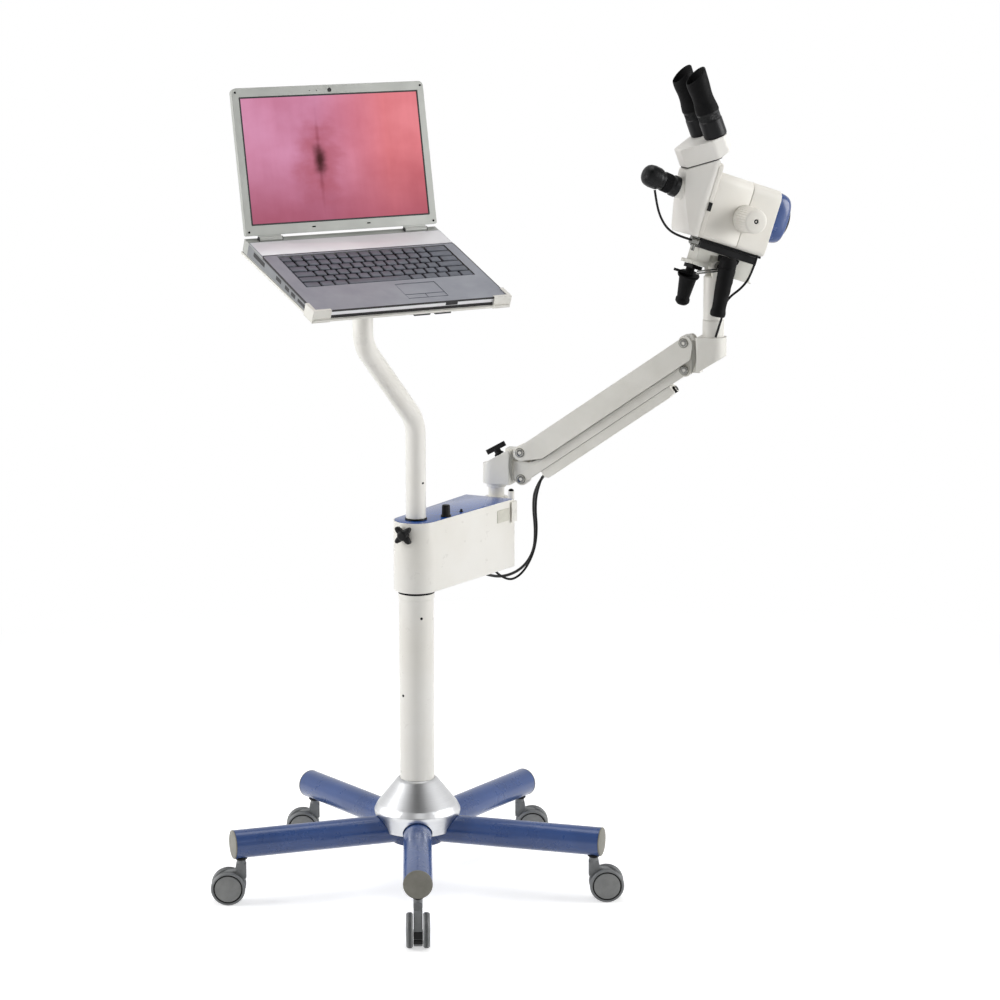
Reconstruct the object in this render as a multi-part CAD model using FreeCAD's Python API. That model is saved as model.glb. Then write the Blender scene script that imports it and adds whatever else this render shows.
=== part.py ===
"""Colposcope: head on a balanced arm, light box and laptop tray, on a five-leg rolling base.

Lengths in millimetres, angles in degrees.
The column stands at the origin of the column frame: X right, Y away, Z up, floor at z = 0.
Three tilted sub-frames hang from it: the arm plane, the head and the laptop.
"""
import math
import os

import FreeCAD
import Part

Vec = FreeCAD.Vector
up = Vec(0, 0, 1)
along_x = Vec(1, 0, 0)
along_y = Vec(0, 1, 0)
origin = Vec(0, 0, 0)

# where the column axis stands in the exported frame, so the footprint box is centred on the origin
column_x = -142.92
column_y = 42.47

# fits
pin_clearance = 0.05
touch_gap = 0.3
slide_gap = 0.3

# five-leg base
leg_count = 5
leg_axis_z = 103.0
leg_od = 48.0
leg_wall = 3.0
leg_tip_radius = 320.0
cap_od = 50.0
cap_length = 8.0
first_leg_angle = -90.0
hub_core_radius = 44.0
socket_inset = 8.0
socket_circle_radius = leg_tip_radius - socket_inset
socket_radius = 9.0
socket_bottom_z = 76.0

# aluminium hub cover
cover_top_radius = 32.0
cover_shoulder_radius = 35.4
cover_wide_radius = 73.5
cover_bottom_radius = 63.0
cover_top_z = 190.0
cover_shoulder_z = 187.0
cover_wide_z = 135.5
cover_bottom_z = 101.0
cover_wall = 2.5
cover_leg_gap = 2.0

# casters
wheel_radius = 29.0
wheel_width = 11.0
wheel_inner_half = 8.3
caster_trail = 22.0
stem_radius = 6.0
stem_top_z = 96.0
fork_width = 15.0
axle_radius = 4.0
# turning of each caster about its stem, counted from +X, one per leg starting at the front leg
caster_turns = [-90.0, 0.0, 0.0, 180.0, 180.0]
caster_names = ["front", "right", "rear_right", "rear_left", "left"]

# column
column_od = 59.0
column_top_z = 516.7
column_collar_od = 61.0
column_collar_low_z = 503.0
column_collar_high_z = 513.0

# light box
box_bottom_z = 517.0
box_top_z = 638.0
box_plate_thickness = 8.0
box_wall = 3.0
box_floor_thickness = 4.0
box_end_radius = 38.0
box_axis_angle = 56.7
box_far_right_x = 171.0
box_far_right_y = 174.5
box_far_left_x = 87.0
box_far_left_y = 218.0

# laptop pole
pole_radius = 17.0
pole_wall = 3.0
pole_bottom_z = 430.0
pole_bend_low_z = 806.0
pole_bend_high_z = 948.0
pole_top_z = 1030.0
pole_bend_radius = 60.0
pole_plug_length = 34.0
pole_plug_bore = 10.05
ring_radius = 18.5
ring_height = 3.5

# clamp knob of the pole
clamp_angle = 242.0
clamp_z = 619.0
clamp_start = 39.0
clamp_thickness = 15.0
clamp_lobe_circle = 11.5
clamp_lobe_radius = 7.0
clamp_screw_radius = 4.0

# dimmer knob and screw on the blue plate
dimmer_x = 50.6
dimmer_y = 22.3
dimmer_radius = 7.2
dimmer_flange_radius = 8.9
dimmer_height = 20.0
screw_x = 77.0
screw_y = 63.3
screw_radius = 4.0

# arm post and arm plane
post_x = 140.5
post_y = 214.0
post_radius = 14.0
post_bottom_z = 592.0
post_shoulder_z = 659.7
post_top_z = 692.0
arm_turn = -20.0
arm_width = 44.0
beam_wall = 3.0
base_block_radius = 23.0
base_block_front = 32.0
base_block_bottom_z = 660.0
base_block_top_low_z = 694.0
base_block_top_high_z = 723.5
lower_pivot_s = 50.0
upper_pivot_z = 718.5
link_pivot_z = 671.0
arm_run = 290.6
arm_rise = 205.0
pivot_radius = 4.0
lug_half = 11.0
lug_radius = 11.5
beam_top_t = 9.0
beam_bottom_t = -30.0
beam_end_radius = 13.0
link_half_height = 8.0
link_half_width = 15.5
link_cheek = 4.0
fork_slot = 31.0
channel_half_width = 14.0
channel_drop = 25.0
channel_start_u = 38.0
channel_end_u = 318.0
end_block_radius = 22.5
head_rod_s = 386.7
end_block_top_z = 934.0
end_block_bottom_z = 903.0
end_collar_radius = 18.2
end_collar_top_z = 963.0
end_stub_radius = 12.0
end_stub_bottom_z = 900.0

# rod under the head
rod_radius = 17.5
rod_top_z = 1038.0
tilt_axis_z = 1055.0
tilt_pin_radius = 5.0
lever_rod_radius = 1.4
saddle_foot_half = 24.0
lug_drop = 9.0
yoke_inner_half = 10.3
yoke_outer_half = 16.5

# head frame
head_z = 1105.0
head_turn = 19.0
head_pitch = 18.3
head_half_width = 44.0
strip_front_x = -49.5
strip_back_x = -41.5
rear_end_x = 79.0
housing_bottom_z = -10.5
housing_top_z = 103.5
housing_wall = 3.0
seam_x = 24.0
mag_knob_x = 24.2
mag_knob_z = 40.8
mag_knob_base_radius = 23.0
mag_knob_face_radius = 20.8
mag_knob_length = 44.0
mag_knob_ribs = 24
rocker_x = -45.5
rocker_z = 42.0
cap_front_x = 108.0
cap_centre_z = 58.5
cap_front_radius = 33.0
lens_centre_z = 56.5
lens_radius = 26.0
block_x = -64.5
block_z = 156.5
block_slope = 39.5
block_thickness = 32.0
pupil_half = 28.0
eyepiece_radius = 19.8
eyepiece_length = 112.0
nose_z = 57.0
camera_tilt = 5.2
rail_start_x = -29.0
rail_end_x = 80.0
rail_plate_low_z = -14.5
rail_foot_z = -22.0
slide_bottom_z = -27.0
carriage_plate_z = -33.0
grip_top_x = 19.7
grip_top_z = -47.3
grip_side_y = -44.0
grip_length = 82.0
grip_lean = 6.2
grip_radius = 14.5

# laptop and tray
hinge_x = -115.9
hinge_y = -44.1
hinge_z = 1124.0
laptop_turn = 29.9
laptop_tilt = 21.15
lid_lean = 11.1
laptop_width = 355.0
laptop_depth = 245.0
laptop_back = 8.0
laptop_back_thickness = 24.0
laptop_front_thickness = 13.0
deck_thickness = 1.2
touchpad_left = 1.0
touchpad_width = 73.0
lid_height = 245.0
lid_thickness = 8.0
lid_foot_z = 7.0
hinge_web_back = 3.2
screen_width = 331.0
screen_height = 207.0
screen_margin = 23.0
keys_width = 309.0
keys_depth = 106.0
keys_back_y = -60.0
key_columns = 15
key_rows = 6
key_gap = 3.0
tray_thickness = 4.0
tray_pivot_y = -84.0
tray_pivot_drop = 45.0


# placing

def placed(shape):
    """Moves a shape of the column frame into the exported frame."""
    shape.translate(Vec(column_x, column_y, 0))
    return shape


def in_arm(shape):
    """Turns a shape drawn in the arm plane (x along the arm, y across, z up) about the post."""
    shape.rotate(origin, up, arm_turn)
    shape.translate(Vec(post_x, post_y, 0))
    return shape


def rod_axis_point(z):
    angle = math.radians(arm_turn)
    return Vec(post_x + head_rod_s * math.cos(angle), post_y + head_rod_s * math.sin(angle), z)


def in_head(shape):
    """Pitches and turns a shape drawn in the head frame (x to the objective, z up)."""
    shape.rotate(origin, along_y, head_pitch)
    shape.rotate(origin, up, head_turn)
    shape.translate(rod_axis_point(head_z))
    return shape


def in_deck(shape):
    """Places a shape drawn on the laptop deck (x width, y back from the front, z off the deck)."""
    shape.rotate(origin, along_x, laptop_tilt)
    shape.rotate(origin, up, laptop_turn)
    shape.translate(Vec(hinge_x, hinge_y, hinge_z))
    return shape


def in_lid(shape):
    """Places a shape drawn on the upright lid (x width, y back, z up the lid)."""
    shape.rotate(origin, along_x, -lid_lean)
    shape.rotate(origin, up, laptop_turn)
    shape.translate(Vec(hinge_x, hinge_y, hinge_z))
    return shape


# drawing helpers

def box(x0, x1, y0, y1, z0, z1):
    return Part.makeBox(x1 - x0, y1 - y0, z1 - z0, Vec(x0, y0, z0))


def rod(radius, start, end):
    axis = end - start
    return Part.makeCylinder(radius, axis.Length, start, axis)


def corner_wire(points, radii):
    """Closed wire through the points with a tangent arc at every corner whose radius isn't 0."""
    count = len(points)
    cuts = []
    for i in range(count):
        before = points[i - 1]
        here = points[i]
        after = points[(i + 1) % count]
        if radii[i] <= 0:
            cuts.append((here, here, None))
            continue
        to_before = (before - here).normalize()
        to_after = (after - here).normalize()
        half = to_before.getAngle(to_after) / 2
        back = radii[i] / math.tan(half)
        first = here + to_before * back
        last = here + to_after * back
        bisector = (to_before + to_after).normalize()
        centre = here + bisector * (radii[i] / math.sin(half))
        middle = centre - bisector * radii[i]
        cuts.append((first, last, middle))
    edges = []
    for i in range(count):
        first, last, middle = cuts[i]
        if middle is not None:
            edges.append(Part.Arc(first, middle, last).toShape())
        following = cuts[(i + 1) % count][0]
        if (following - last).Length > 1e-6:
            edges.append(Part.makeLine(last, following))
    return Part.Wire(edges)


def slab(points, radii, depth):
    """Extrudes a cornered outline by the vector depth."""
    if not isinstance(radii, (list, tuple)):
        radii = [radii] * len(points)
    return Part.Face(corner_wire(points, radii)).extrude(depth)


def side_slab(pairs, radii, y0, y1):
    """Outline in the x-z plane, extruded across from y0 to y1."""
    points = [Vec(a, y0, b) for a, b in pairs]
    return slab(points, radii, Vec(0, y1 - y0, 0))


def plan_slab(pairs, radii, z0, z1):
    """Outline in the x-y plane, extruded up from z0 to z1."""
    points = [Vec(a, b, z0) for a, b in pairs]
    return slab(points, radii, Vec(0, 0, z1 - z0))


def section_slab(pairs, radii, x0, x1):
    """Outline in the y-z plane, extruded along x from x0 to x1."""
    points = [Vec(x0, a, b) for a, b in pairs]
    return slab(points, radii, Vec(x1 - x0, 0, 0))


def turned(pairs):
    """Solid of revolution about Z from (radius, height) pairs."""
    points = [Vec(r, 0, h) for r, h in pairs]
    points.append(points[0])
    return Part.Face(Part.makePolygon(points)).revolve(origin, up, 360)


def aimed(shape, base, direction):
    """Moves a shape drawn along +Z to stand at base along direction."""
    turn = FreeCAD.Rotation(up, direction)
    shape.Placement = FreeCAD.Placement(base, turn).multiply(shape.Placement)
    return shape


def route_wire(points):
    """Open wire of straight runs joined by tangent arcs sized from the shorter run at each turn."""
    edges = []
    start = points[0]
    radii = []
    for i in range(1, len(points) - 1):
        before = points[i - 1] - points[i]
        after = points[i + 1] - points[i]
        turn = math.pi - before.getAngle(after)
        radius = 0.45 * min(before.Length, after.Length) / math.tan(turn / 2)
        radii.append(radius)
        back = radius * math.tan(turn / 2)
        to_before = before.normalize()
        to_after = after.normalize()
        first = points[i] + to_before * back
        last = points[i] + to_after * back
        bisector = (to_before + to_after).normalize()
        middle = points[i] + bisector * (radius / math.cos(turn / 2) - radius)
        edges.append(Part.makeLine(start, first))
        edges.append(Part.Arc(first, middle, last).toShape())
        start = last
    edges.append(Part.makeLine(start, points[-1]))
    return Part.Wire(edges), radii


def swept(wire, start, direction, radius):
    ring = Part.Wire(Part.makeCircle(radius, start, direction))
    return wire.makePipeShell([ring], True, False)


def cord(name, points, radius):
    wire, radii = route_wire(points)
    body = swept(wire, points[0], points[1] - points[0], radius)
    expected = math.pi * radius * radius * wire.Length
    print(name, "length", round(wire.Length, 1), "smallest bend", round(min(radii), 1),
          "volume ratio", round(body.Volume / expected, 4))
    return body


# base

def leg_angle(i):
    return first_leg_angle + i * 360.0 / leg_count


def around(shape, angle):
    turned_shape = shape.copy()
    turned_shape.rotate(origin, up, angle)
    return turned_shape


def make_leg_star():
    """Five tubes welded to a hub drum, each with a caster socket under its tip."""
    half = leg_od / 2
    star = Part.makeCylinder(hub_core_radius, leg_od, Vec(0, 0, leg_axis_z - half))
    bores = []
    for i in range(leg_count):
        tube = rod(half, Vec(10, 0, leg_axis_z), Vec(leg_tip_radius, 0, leg_axis_z))
        bore = rod(half - leg_wall, Vec(hub_core_radius + 3, 0, leg_axis_z),
                   Vec(leg_tip_radius + 5, 0, leg_axis_z))
        socket = rod(socket_radius, Vec(socket_circle_radius, 0, socket_bottom_z),
                     Vec(socket_circle_radius, 0, leg_axis_z))
        socket_bore = rod(stem_radius + pin_clearance, Vec(socket_circle_radius, 0, socket_bottom_z - 1),
                          Vec(socket_circle_radius, 0, stem_top_z + touch_gap))
        star = star.fuse(around(tube, leg_angle(i)))
        bores.append((around(bore, leg_angle(i)), around(socket, leg_angle(i)),
                      around(socket_bore, leg_angle(i))))
    for bore, socket, socket_bore in bores:
        star = star.cut(bore)
    for bore, socket, socket_bore in bores:
        star = star.fuse(socket)
        star = star.cut(socket_bore)
    return star.removeSplitter()


def make_leg_end_caps():
    """Five rounded end caps plugged on the leg tips."""
    rim = cap_od / 2
    plug = leg_od / 2 - leg_wall - 0.2
    profile = [(0, -4), (plug, -4), (plug, touch_gap / 2), (rim, touch_gap / 2),
               (rim, cap_length - 4), (rim - 1.2, cap_length - 1.6), (rim - 4, cap_length), (0, cap_length)]
    caps = []
    for i in range(leg_count):
        cap = aimed(turned(profile), Vec(leg_tip_radius, 0, leg_axis_z), along_x)
        cap = cap.cut(rod(socket_radius + 0.2, Vec(socket_circle_radius, 0, 60),
                          Vec(socket_circle_radius, 0, leg_axis_z + 1)))
        caps.append(around(cap, leg_angle(i)))
    return Part.Compound(caps)


def make_hub_cover():
    """Spun aluminium cone with a flared skirt, cut away around each leg tube."""
    outer = [(cover_top_radius, cover_top_z), (cover_shoulder_radius, cover_shoulder_z),
             (cover_shoulder_radius + 9, cover_shoulder_z - 9), (cover_wide_radius - 5, cover_wide_z + 10),
             (cover_wide_radius, cover_wide_z), (cover_wide_radius, cover_wide_z - 4),
             (cover_bottom_radius, cover_bottom_z)]
    bore = column_od / 2 + touch_gap
    inner = [(r - cover_wall, z - cover_wall * 0.6) for r, z in outer[1:-1]]
    inner = [(bore, cover_top_z)] + [(bore, cover_shoulder_z - 4)] + inner[1:]
    inner = inner + [(cover_bottom_radius - cover_wall, cover_bottom_z)]
    cover = turned(outer + inner[::-1])
    for i in range(leg_count):
        window = rod(leg_od / 2 + cover_leg_gap, Vec(30, 0, leg_axis_z), Vec(90, 0, leg_axis_z))
        under = box(30, 90, -leg_od / 2 - cover_leg_gap, leg_od / 2 + cover_leg_gap,
                    cover_bottom_z - 5, leg_axis_z)
        cover = cover.cut(around(window.fuse(under), leg_angle(i)))
    return cover


def make_column():
    """Thick-walled column with a collar under the box; its bore guides the laptop pole."""
    foot_z = leg_axis_z + leg_od / 2 + touch_gap
    half = column_od / 2
    collar = column_collar_od / 2
    bore = pole_radius + slide_gap
    return turned([(bore, foot_z), (half, foot_z), (half, column_collar_low_z),
                   (collar, column_collar_low_z + 1), (collar, column_collar_high_z - 1),
                   (half, column_collar_high_z), (half, column_top_z), (bore, column_top_z)])


# casters

def caster_frame(shape, i):
    """Drawn with the stem on Z and the wheels trailing along +X."""
    shape.rotate(origin, up, caster_turns[i])
    angle = math.radians(leg_angle(i))
    shape.translate(Vec(socket_circle_radius * math.cos(angle), socket_circle_radius * math.sin(angle), 0))
    return shape


def make_caster_fork(i):
    """Stem, round housing and the rib between the twin wheels, with a small brake tab."""
    half = fork_width / 2
    stem = rod(stem_radius, Vec(0, 0, 50), Vec(0, 0, stem_top_z))
    housing = turned([(0, 58), (8.5, 58), (8.5, 70), (7.5, 73), (7.5, socket_bottom_z - touch_gap),
                      (0, socket_bottom_z - touch_gap)])
    rib = side_slab([(-9, 66), (9, 66), (caster_trail + 12, 46), (caster_trail + 13, 26),
                     (caster_trail - 8, 16), (-6, 44)], [4, 4, 9, 10, 8, 8], -half, half)
    hood = side_slab([(-9, 62), (4, 64), (20, 62.5), (20, 59.5), (4, 60), (-9, 58)],
                     [1, 1, 1, 1, 1, 1], -16, 16)
    tab = side_slab([(caster_trail + 8, 49), (caster_trail + 22, 56), (caster_trail + 21, 59),
                     (caster_trail + 4, 53)], [0, 1, 1, 0], -5, 5)
    fork = rib.fuse(stem).fuse(housing).fuse(hood).fuse(tab)
    fork = fork.cut(rod(axle_radius + pin_clearance, Vec(caster_trail, -20, wheel_radius),
                        Vec(caster_trail, 20, wheel_radius)))
    return caster_frame(fork.removeSplitter(), i)


def make_caster_wheels(i):
    """Two rounded discs with a grooved side ring on one axle."""
    inner = wheel_inner_half
    outer = wheel_inner_half + wheel_width
    r = wheel_radius
    half_pair = [(0, inner), (r - 2, inner), (r - 0.5, inner + 1), (r, inner + 3), (r, outer - 3),
                 (r - 0.6, outer - 1), (r - 2.5, outer), (r - 4, outer), (r - 4.4, outer - 1),
                 (r - 6.6, outer - 1), (r - 7, outer), (6, outer + 0.6), (0, outer + 0.8)]
    centre = Vec(caster_trail, 0, wheel_radius)
    near = aimed(turned(half_pair), centre, Vec(0, -1, 0))
    far = aimed(turned(half_pair), centre, Vec(0, 1, 0))
    axle = rod(axle_radius, Vec(caster_trail, -inner - 1, r), Vec(caster_trail, inner + 1, r))
    return caster_frame(near.fuse(axle).fuse(far), i)


# light box

def box_outline(inset):
    """Plan of the light box: a round end about the column and a square far end."""
    far_right = Vec(box_far_right_x, box_far_right_y, 0)
    far_left = Vec(box_far_left_x, box_far_left_y, 0)
    radius = box_end_radius - inset
    end_way = (far_right - far_left).normalize()
    far_right = far_right - end_way * inset
    far_left = far_left + end_way * inset
    inward = Vec(end_way.y, -end_way.x, 0)
    if inward.dot(far_right) > 0:
        inward = inward * -1
    far_right = far_right + inward * inset
    far_left = far_left + inward * inset
    return radius, tangent_touch(far_right, radius, -1), far_right, far_left, tangent_touch(far_left, radius,
                                                                                            1)


def tangent_touch(point, radius, side):
    """Where the tangent from the point touches the circle about the column."""
    spread = math.acos(radius / point.Length)
    angle = math.atan2(point.y, point.x) + side * spread
    return Vec(radius * math.cos(angle), radius * math.sin(angle), 0)


def box_slab(inset, z0, z1):
    radius, near_right, far_right, far_left, near_left = box_outline(inset)
    lift = Vec(0, 0, z0)
    middle_way = (far_right + far_left).normalize() * -radius
    edges = [Part.makeLine(near_right + lift, far_right + lift),
             Part.makeLine(far_right + lift, far_left + lift),
             Part.makeLine(far_left + lift, near_left + lift),
             Part.Arc(near_left + lift, middle_way + lift, near_right + lift).toShape()]
    return Part.Face(Part.Wire(edges)).extrude(Vec(0, 0, z1 - z0))


def pole_bore(z0, z1):
    return rod(pole_radius + slide_gap, Vec(0, 0, z0), Vec(0, 0, z1))


def clamp_way():
    angle = math.radians(clamp_angle)
    return Vec(math.cos(angle), math.sin(angle), 0)


def make_box_shell():
    """Sheet shell of the light box with its floor, a clamp-screw boss and the guide sleeve of the pole."""
    top = box_top_z - box_plate_thickness - touch_gap
    shell = box_slab(0, box_bottom_z, top)
    hollow = box_slab(box_wall, box_bottom_z + box_floor_thickness, top + 1)
    sleeve = rod(pole_radius + 6, Vec(0, 0, box_bottom_z), Vec(0, 0, top))
    boss = rod(9, Vec(0, 0, clamp_z), clamp_way() * (box_end_radius - 1) + Vec(0, 0, clamp_z))
    shell = shell.cut(hollow).fuse(sleeve).fuse(boss)
    shell = shell.cut(pole_bore(box_bottom_z - 1, top + 1))
    shell = shell.cut(rod(clamp_screw_radius + pin_clearance, Vec(0, 0, clamp_z),
                          clamp_way() * (box_end_radius + 5) + Vec(0, 0, clamp_z)))
    return shell.removeSplitter()


def make_box_top():
    """Glossy cover plate with slightly rounded rim."""
    plate = box_slab(-0.6, box_top_z - box_plate_thickness, box_top_z)
    plate = plate.cut(pole_bore(box_top_z - 20, box_top_z + 5))
    return plate.cut(rod(3 + pin_clearance, Vec(dimmer_x, dimmer_y, box_top_z - 20),
                         Vec(dimmer_x, dimmer_y, box_top_z + 5)))


def make_post_bracket():
    """Strap across the far end of the box that carries the arm post, with a small capped socket."""
    far_right = Vec(box_far_right_x, box_far_right_y, 0)
    far_left = Vec(box_far_left_x, box_far_left_y, 0)
    way = (far_right - far_left).normalize()
    out = Vec(-way.y, way.x, 0)
    if out.dot(far_right) < 0:
        out = out * -1
    low = Vec(0, 0, 598)
    first = far_left + out * touch_gap
    last = far_right + out * touch_gap + way * 5
    strap = slab([first + low, last + low, last + out * 6 + low, first + out * 6 + low], 0, Vec(0, 0, 36))
    hook_a = far_right + way * 5 + out * 6
    hook_b = far_right + way * 0.9
    back = out * -26
    hook = slab([hook_b + low, hook_a + low, hook_a + back + low, hook_b + back - out * 6 + low], 0,
                Vec(0, 0, 36))
    post = Vec(post_x, post_y, 0)
    collar = rod(post_radius + 7, post + Vec(0, 0, 592), post + Vec(0, 0, 640))
    web = slab([post - way * 18 + low, post + way * 18 + low, post + way * 24 - out * 16 + low,
                post - way * 24 - out * 16 + low], 0, Vec(0, 0, 36))
    bracket = strap.fuse(hook).fuse(collar).fuse(web)
    keep_out = box_slab(-0.6 - touch_gap, 500, 700)
    bracket = bracket.cut(keep_out)
    socket_base = far_right - way * 9 + out * 5
    socket = rod(5.5, socket_base + Vec(0, 0, 625), socket_base + Vec(0, 0, 650))
    bracket = bracket.fuse(socket)
    bracket = bracket.cut(keep_out)
    return bracket.cut(rod(post_radius, post + Vec(0, 0, 590), post + Vec(0, 0, 645))).removeSplitter()


def make_arm_post():
    """Turned steel post with a shoulder that the arm block rides on."""
    post = turned([(0, post_bottom_z), (post_radius, post_bottom_z), (post_radius, 652),
                   (17, 653), (17, post_shoulder_z), (post_radius, post_shoulder_z),
                   (post_radius, post_top_z - 1), (post_radius - 1, post_top_z), (0, post_top_z)])
    post.translate(Vec(post_x, post_y, 0))
    return post


def make_pole_ring():
    """Ring that bushes the pole where it leaves the blue plate."""
    return turned([(pole_radius + pin_clearance, box_top_z + touch_gap),
                   (ring_radius, box_top_z + touch_gap),
                   (ring_radius, box_top_z + ring_height - 0.8),
                   (ring_radius - 0.8, box_top_z + ring_height),
                   (pole_radius + pin_clearance, box_top_z + ring_height)])


def make_label_plate():
    """Blank plate on the right side of the box, near its far end."""
    radius, near_right, far_right, far_left, near_left = box_outline(0)
    way = (near_right - far_right).normalize()
    out = Vec(-way.y, way.x, 0)
    if out.dot(Vec(1, -1, 0)) < 0:
        out = out * -1
    base = far_right + out * 0.05 + Vec(0, 0, 603)
    first = base + way * 17
    last = base + way * 54
    corners = [first, last, last + Vec(0, 0, 22), first + Vec(0, 0, 22)]
    return slab(corners, 1.5, out * 0.9)


def make_panel_screw():
    """Black thumb screw on the blue plate."""
    screw = turned([(0, 0), (screw_radius + 1.5, 0), (screw_radius + 1.5, 1.2), (screw_radius, 1.2),
                    (screw_radius, 6), (screw_radius - 1, 7), (0, 7)])
    screw.translate(Vec(screw_x, screw_y, box_top_z + 0.05))
    return screw


def make_dimmer_knob():
    """Fluted dimmer knob on its spindle."""
    knob = turned([(0, 0), (dimmer_flange_radius, 0), (dimmer_flange_radius, 2.5), (dimmer_radius, 3.5),
                   (dimmer_radius - 0.3, dimmer_height - 1.2), (dimmer_radius - 1.5, dimmer_height),
                   (0, dimmer_height)])
    for i in range(12):
        angle = 2 * math.pi * i / 12
        groove = rod(0.9, Vec(math.cos(angle), math.sin(angle), 0) * dimmer_radius + Vec(0, 0, 5),
                     Vec(math.cos(angle), math.sin(angle), 0) * dimmer_radius + Vec(0, 0, 25))
        knob = knob.cut(groove)
    pointer = box(1, dimmer_radius - 1, -0.5, 0.5, dimmer_height - 0.6, dimmer_height + 1)
    knob = knob.cut(pointer)
    knob = knob.fuse(rod(3, Vec(0, 0, -16), Vec(0, 0, 1)))
    knob.translate(Vec(dimmer_x, dimmer_y, box_top_z + touch_gap))
    return knob


def make_clamp_knob():
    """Four-lobe hand knob and its clamp screw."""
    hub = turned([(0, 0), (8, 0), (9, 2), (9, 12), (6, clamp_thickness), (0, clamp_thickness)])
    knob = hub
    for i in range(4):
        angle = math.radians(45 + 90 * i)
        centre = Vec(math.cos(angle), math.sin(angle), 0) * clamp_lobe_circle
        lobe = turned([(0, 2), (clamp_lobe_radius - 1, 2), (clamp_lobe_radius, 3.2),
                       (clamp_lobe_radius, 11), (clamp_lobe_radius - 1.5, 12.5), (0, 12.5)])
        lobe.translate(centre)
        knob = knob.fuse(lobe)
    screw_length = clamp_start - pole_radius - touch_gap
    knob = knob.fuse(rod(clamp_screw_radius, Vec(0, 0, -screw_length), Vec(0, 0, 2)))
    base = clamp_way() * clamp_start + Vec(0, 0, clamp_z)
    return aimed(knob.removeSplitter(), base, clamp_way())


# laptop pole

def pole_offset():
    """Plan position of the pole's upper end, under the tray pivot."""
    pivot = tray_pivot_point()
    return pivot.x, pivot.y


def tray_pivot_point():
    point = Part.Vertex(0, tray_pivot_y, -tray_pivot_drop)
    point = in_deck(point)
    return Vec(point.X, point.Y, point.Z)


def pole_route():
    x, y = pole_offset()
    points = [Vec(0, 0, pole_bottom_z), Vec(0, 0, pole_bend_low_z), Vec(x, y, pole_bend_high_z),
              Vec(x, y, pole_top_z)]
    edges = []
    start = points[0]
    for i in (1, 2):
        to_before = (points[i - 1] - points[i]).normalize()
        to_after = (points[i + 1] - points[i]).normalize()
        turn = math.pi - to_before.getAngle(to_after)
        back = pole_bend_radius * math.tan(turn / 2)
        bisector = (to_before + to_after).normalize()
        first = points[i] + to_before * back
        last = points[i] + to_after * back
        middle = points[i] + bisector * (pole_bend_radius / math.cos(turn / 2) - pole_bend_radius)
        edges.append(Part.makeLine(start, first))
        edges.append(Part.Arc(first, middle, last).toShape())
        start = last
    edges.append(Part.makeLine(start, points[-1]))
    return Part.Wire(edges)


def make_pole():
    """Tube bent twice so that the tray stands clear of the box; plugged at the top for the swivel."""
    wire = pole_route()
    start = Vec(0, 0, pole_bottom_z)
    outer = swept(wire, start, up, pole_radius)
    inner = swept(wire, start, up, pole_radius - pole_wall)
    x, y = pole_offset()
    plug = rod(pole_radius - pole_wall, Vec(x, y, pole_top_z - pole_plug_length), Vec(x, y, pole_top_z))
    bore = rod(pole_plug_bore, Vec(x, y, pole_top_z - pole_plug_length + 4), Vec(x, y, pole_top_z + 1))
    pole = outer.cut(inner).fuse(plug).cut(bore)
    pole = pole.cut(rod(2.5, Vec(12, -30, 702), Vec(12, 0, 702)))
    return pole.removeSplitter()


def make_tray_bracket():
    """Swivel head on the pole with two ears and the cross pin that the tray tilts on."""
    pivot = tray_pivot_point()
    base_z = pole_top_z + touch_gap
    head = turned([(0, -25), (pole_plug_bore - pin_clearance, -25), (pole_plug_bore - pin_clearance, 0),
                   (pole_radius + 4, 0), (pole_radius + 4, 6), (pole_radius + 2, 8), (0, 8)])
    head.translate(Vec(0, 0, base_z))
    for side in (-1, 1):
        ear = side_slab([(-10, base_z + 2), (10, base_z + 2), (10, pivot.z), (6, pivot.z + 8),
                         (-6, pivot.z + 8), (-10, pivot.z)], [0, 0, 5, 3, 3, 5], 0, 5)
        ear.rotate(origin, up, 90)
        ear.translate(Vec(side * 16.7 + 2.5, 0, 0))
        head = head.fuse(ear)
    head = head.fuse(rod(4, Vec(-20.5, 0, pivot.z), Vec(20.5, 0, pivot.z)))
    head.rotate(origin, up, laptop_turn)
    head.translate(Vec(pivot.x, pivot.y, 0))
    return head


# laptop and tray, drawn on the deck

def bottom_line(y):
    """Height of the laptop's underside at distance y from the hinge."""
    share = (y + laptop_depth) / (laptop_depth + laptop_back)
    return -laptop_front_thickness - share * (laptop_back_thickness - laptop_front_thickness)


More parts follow.
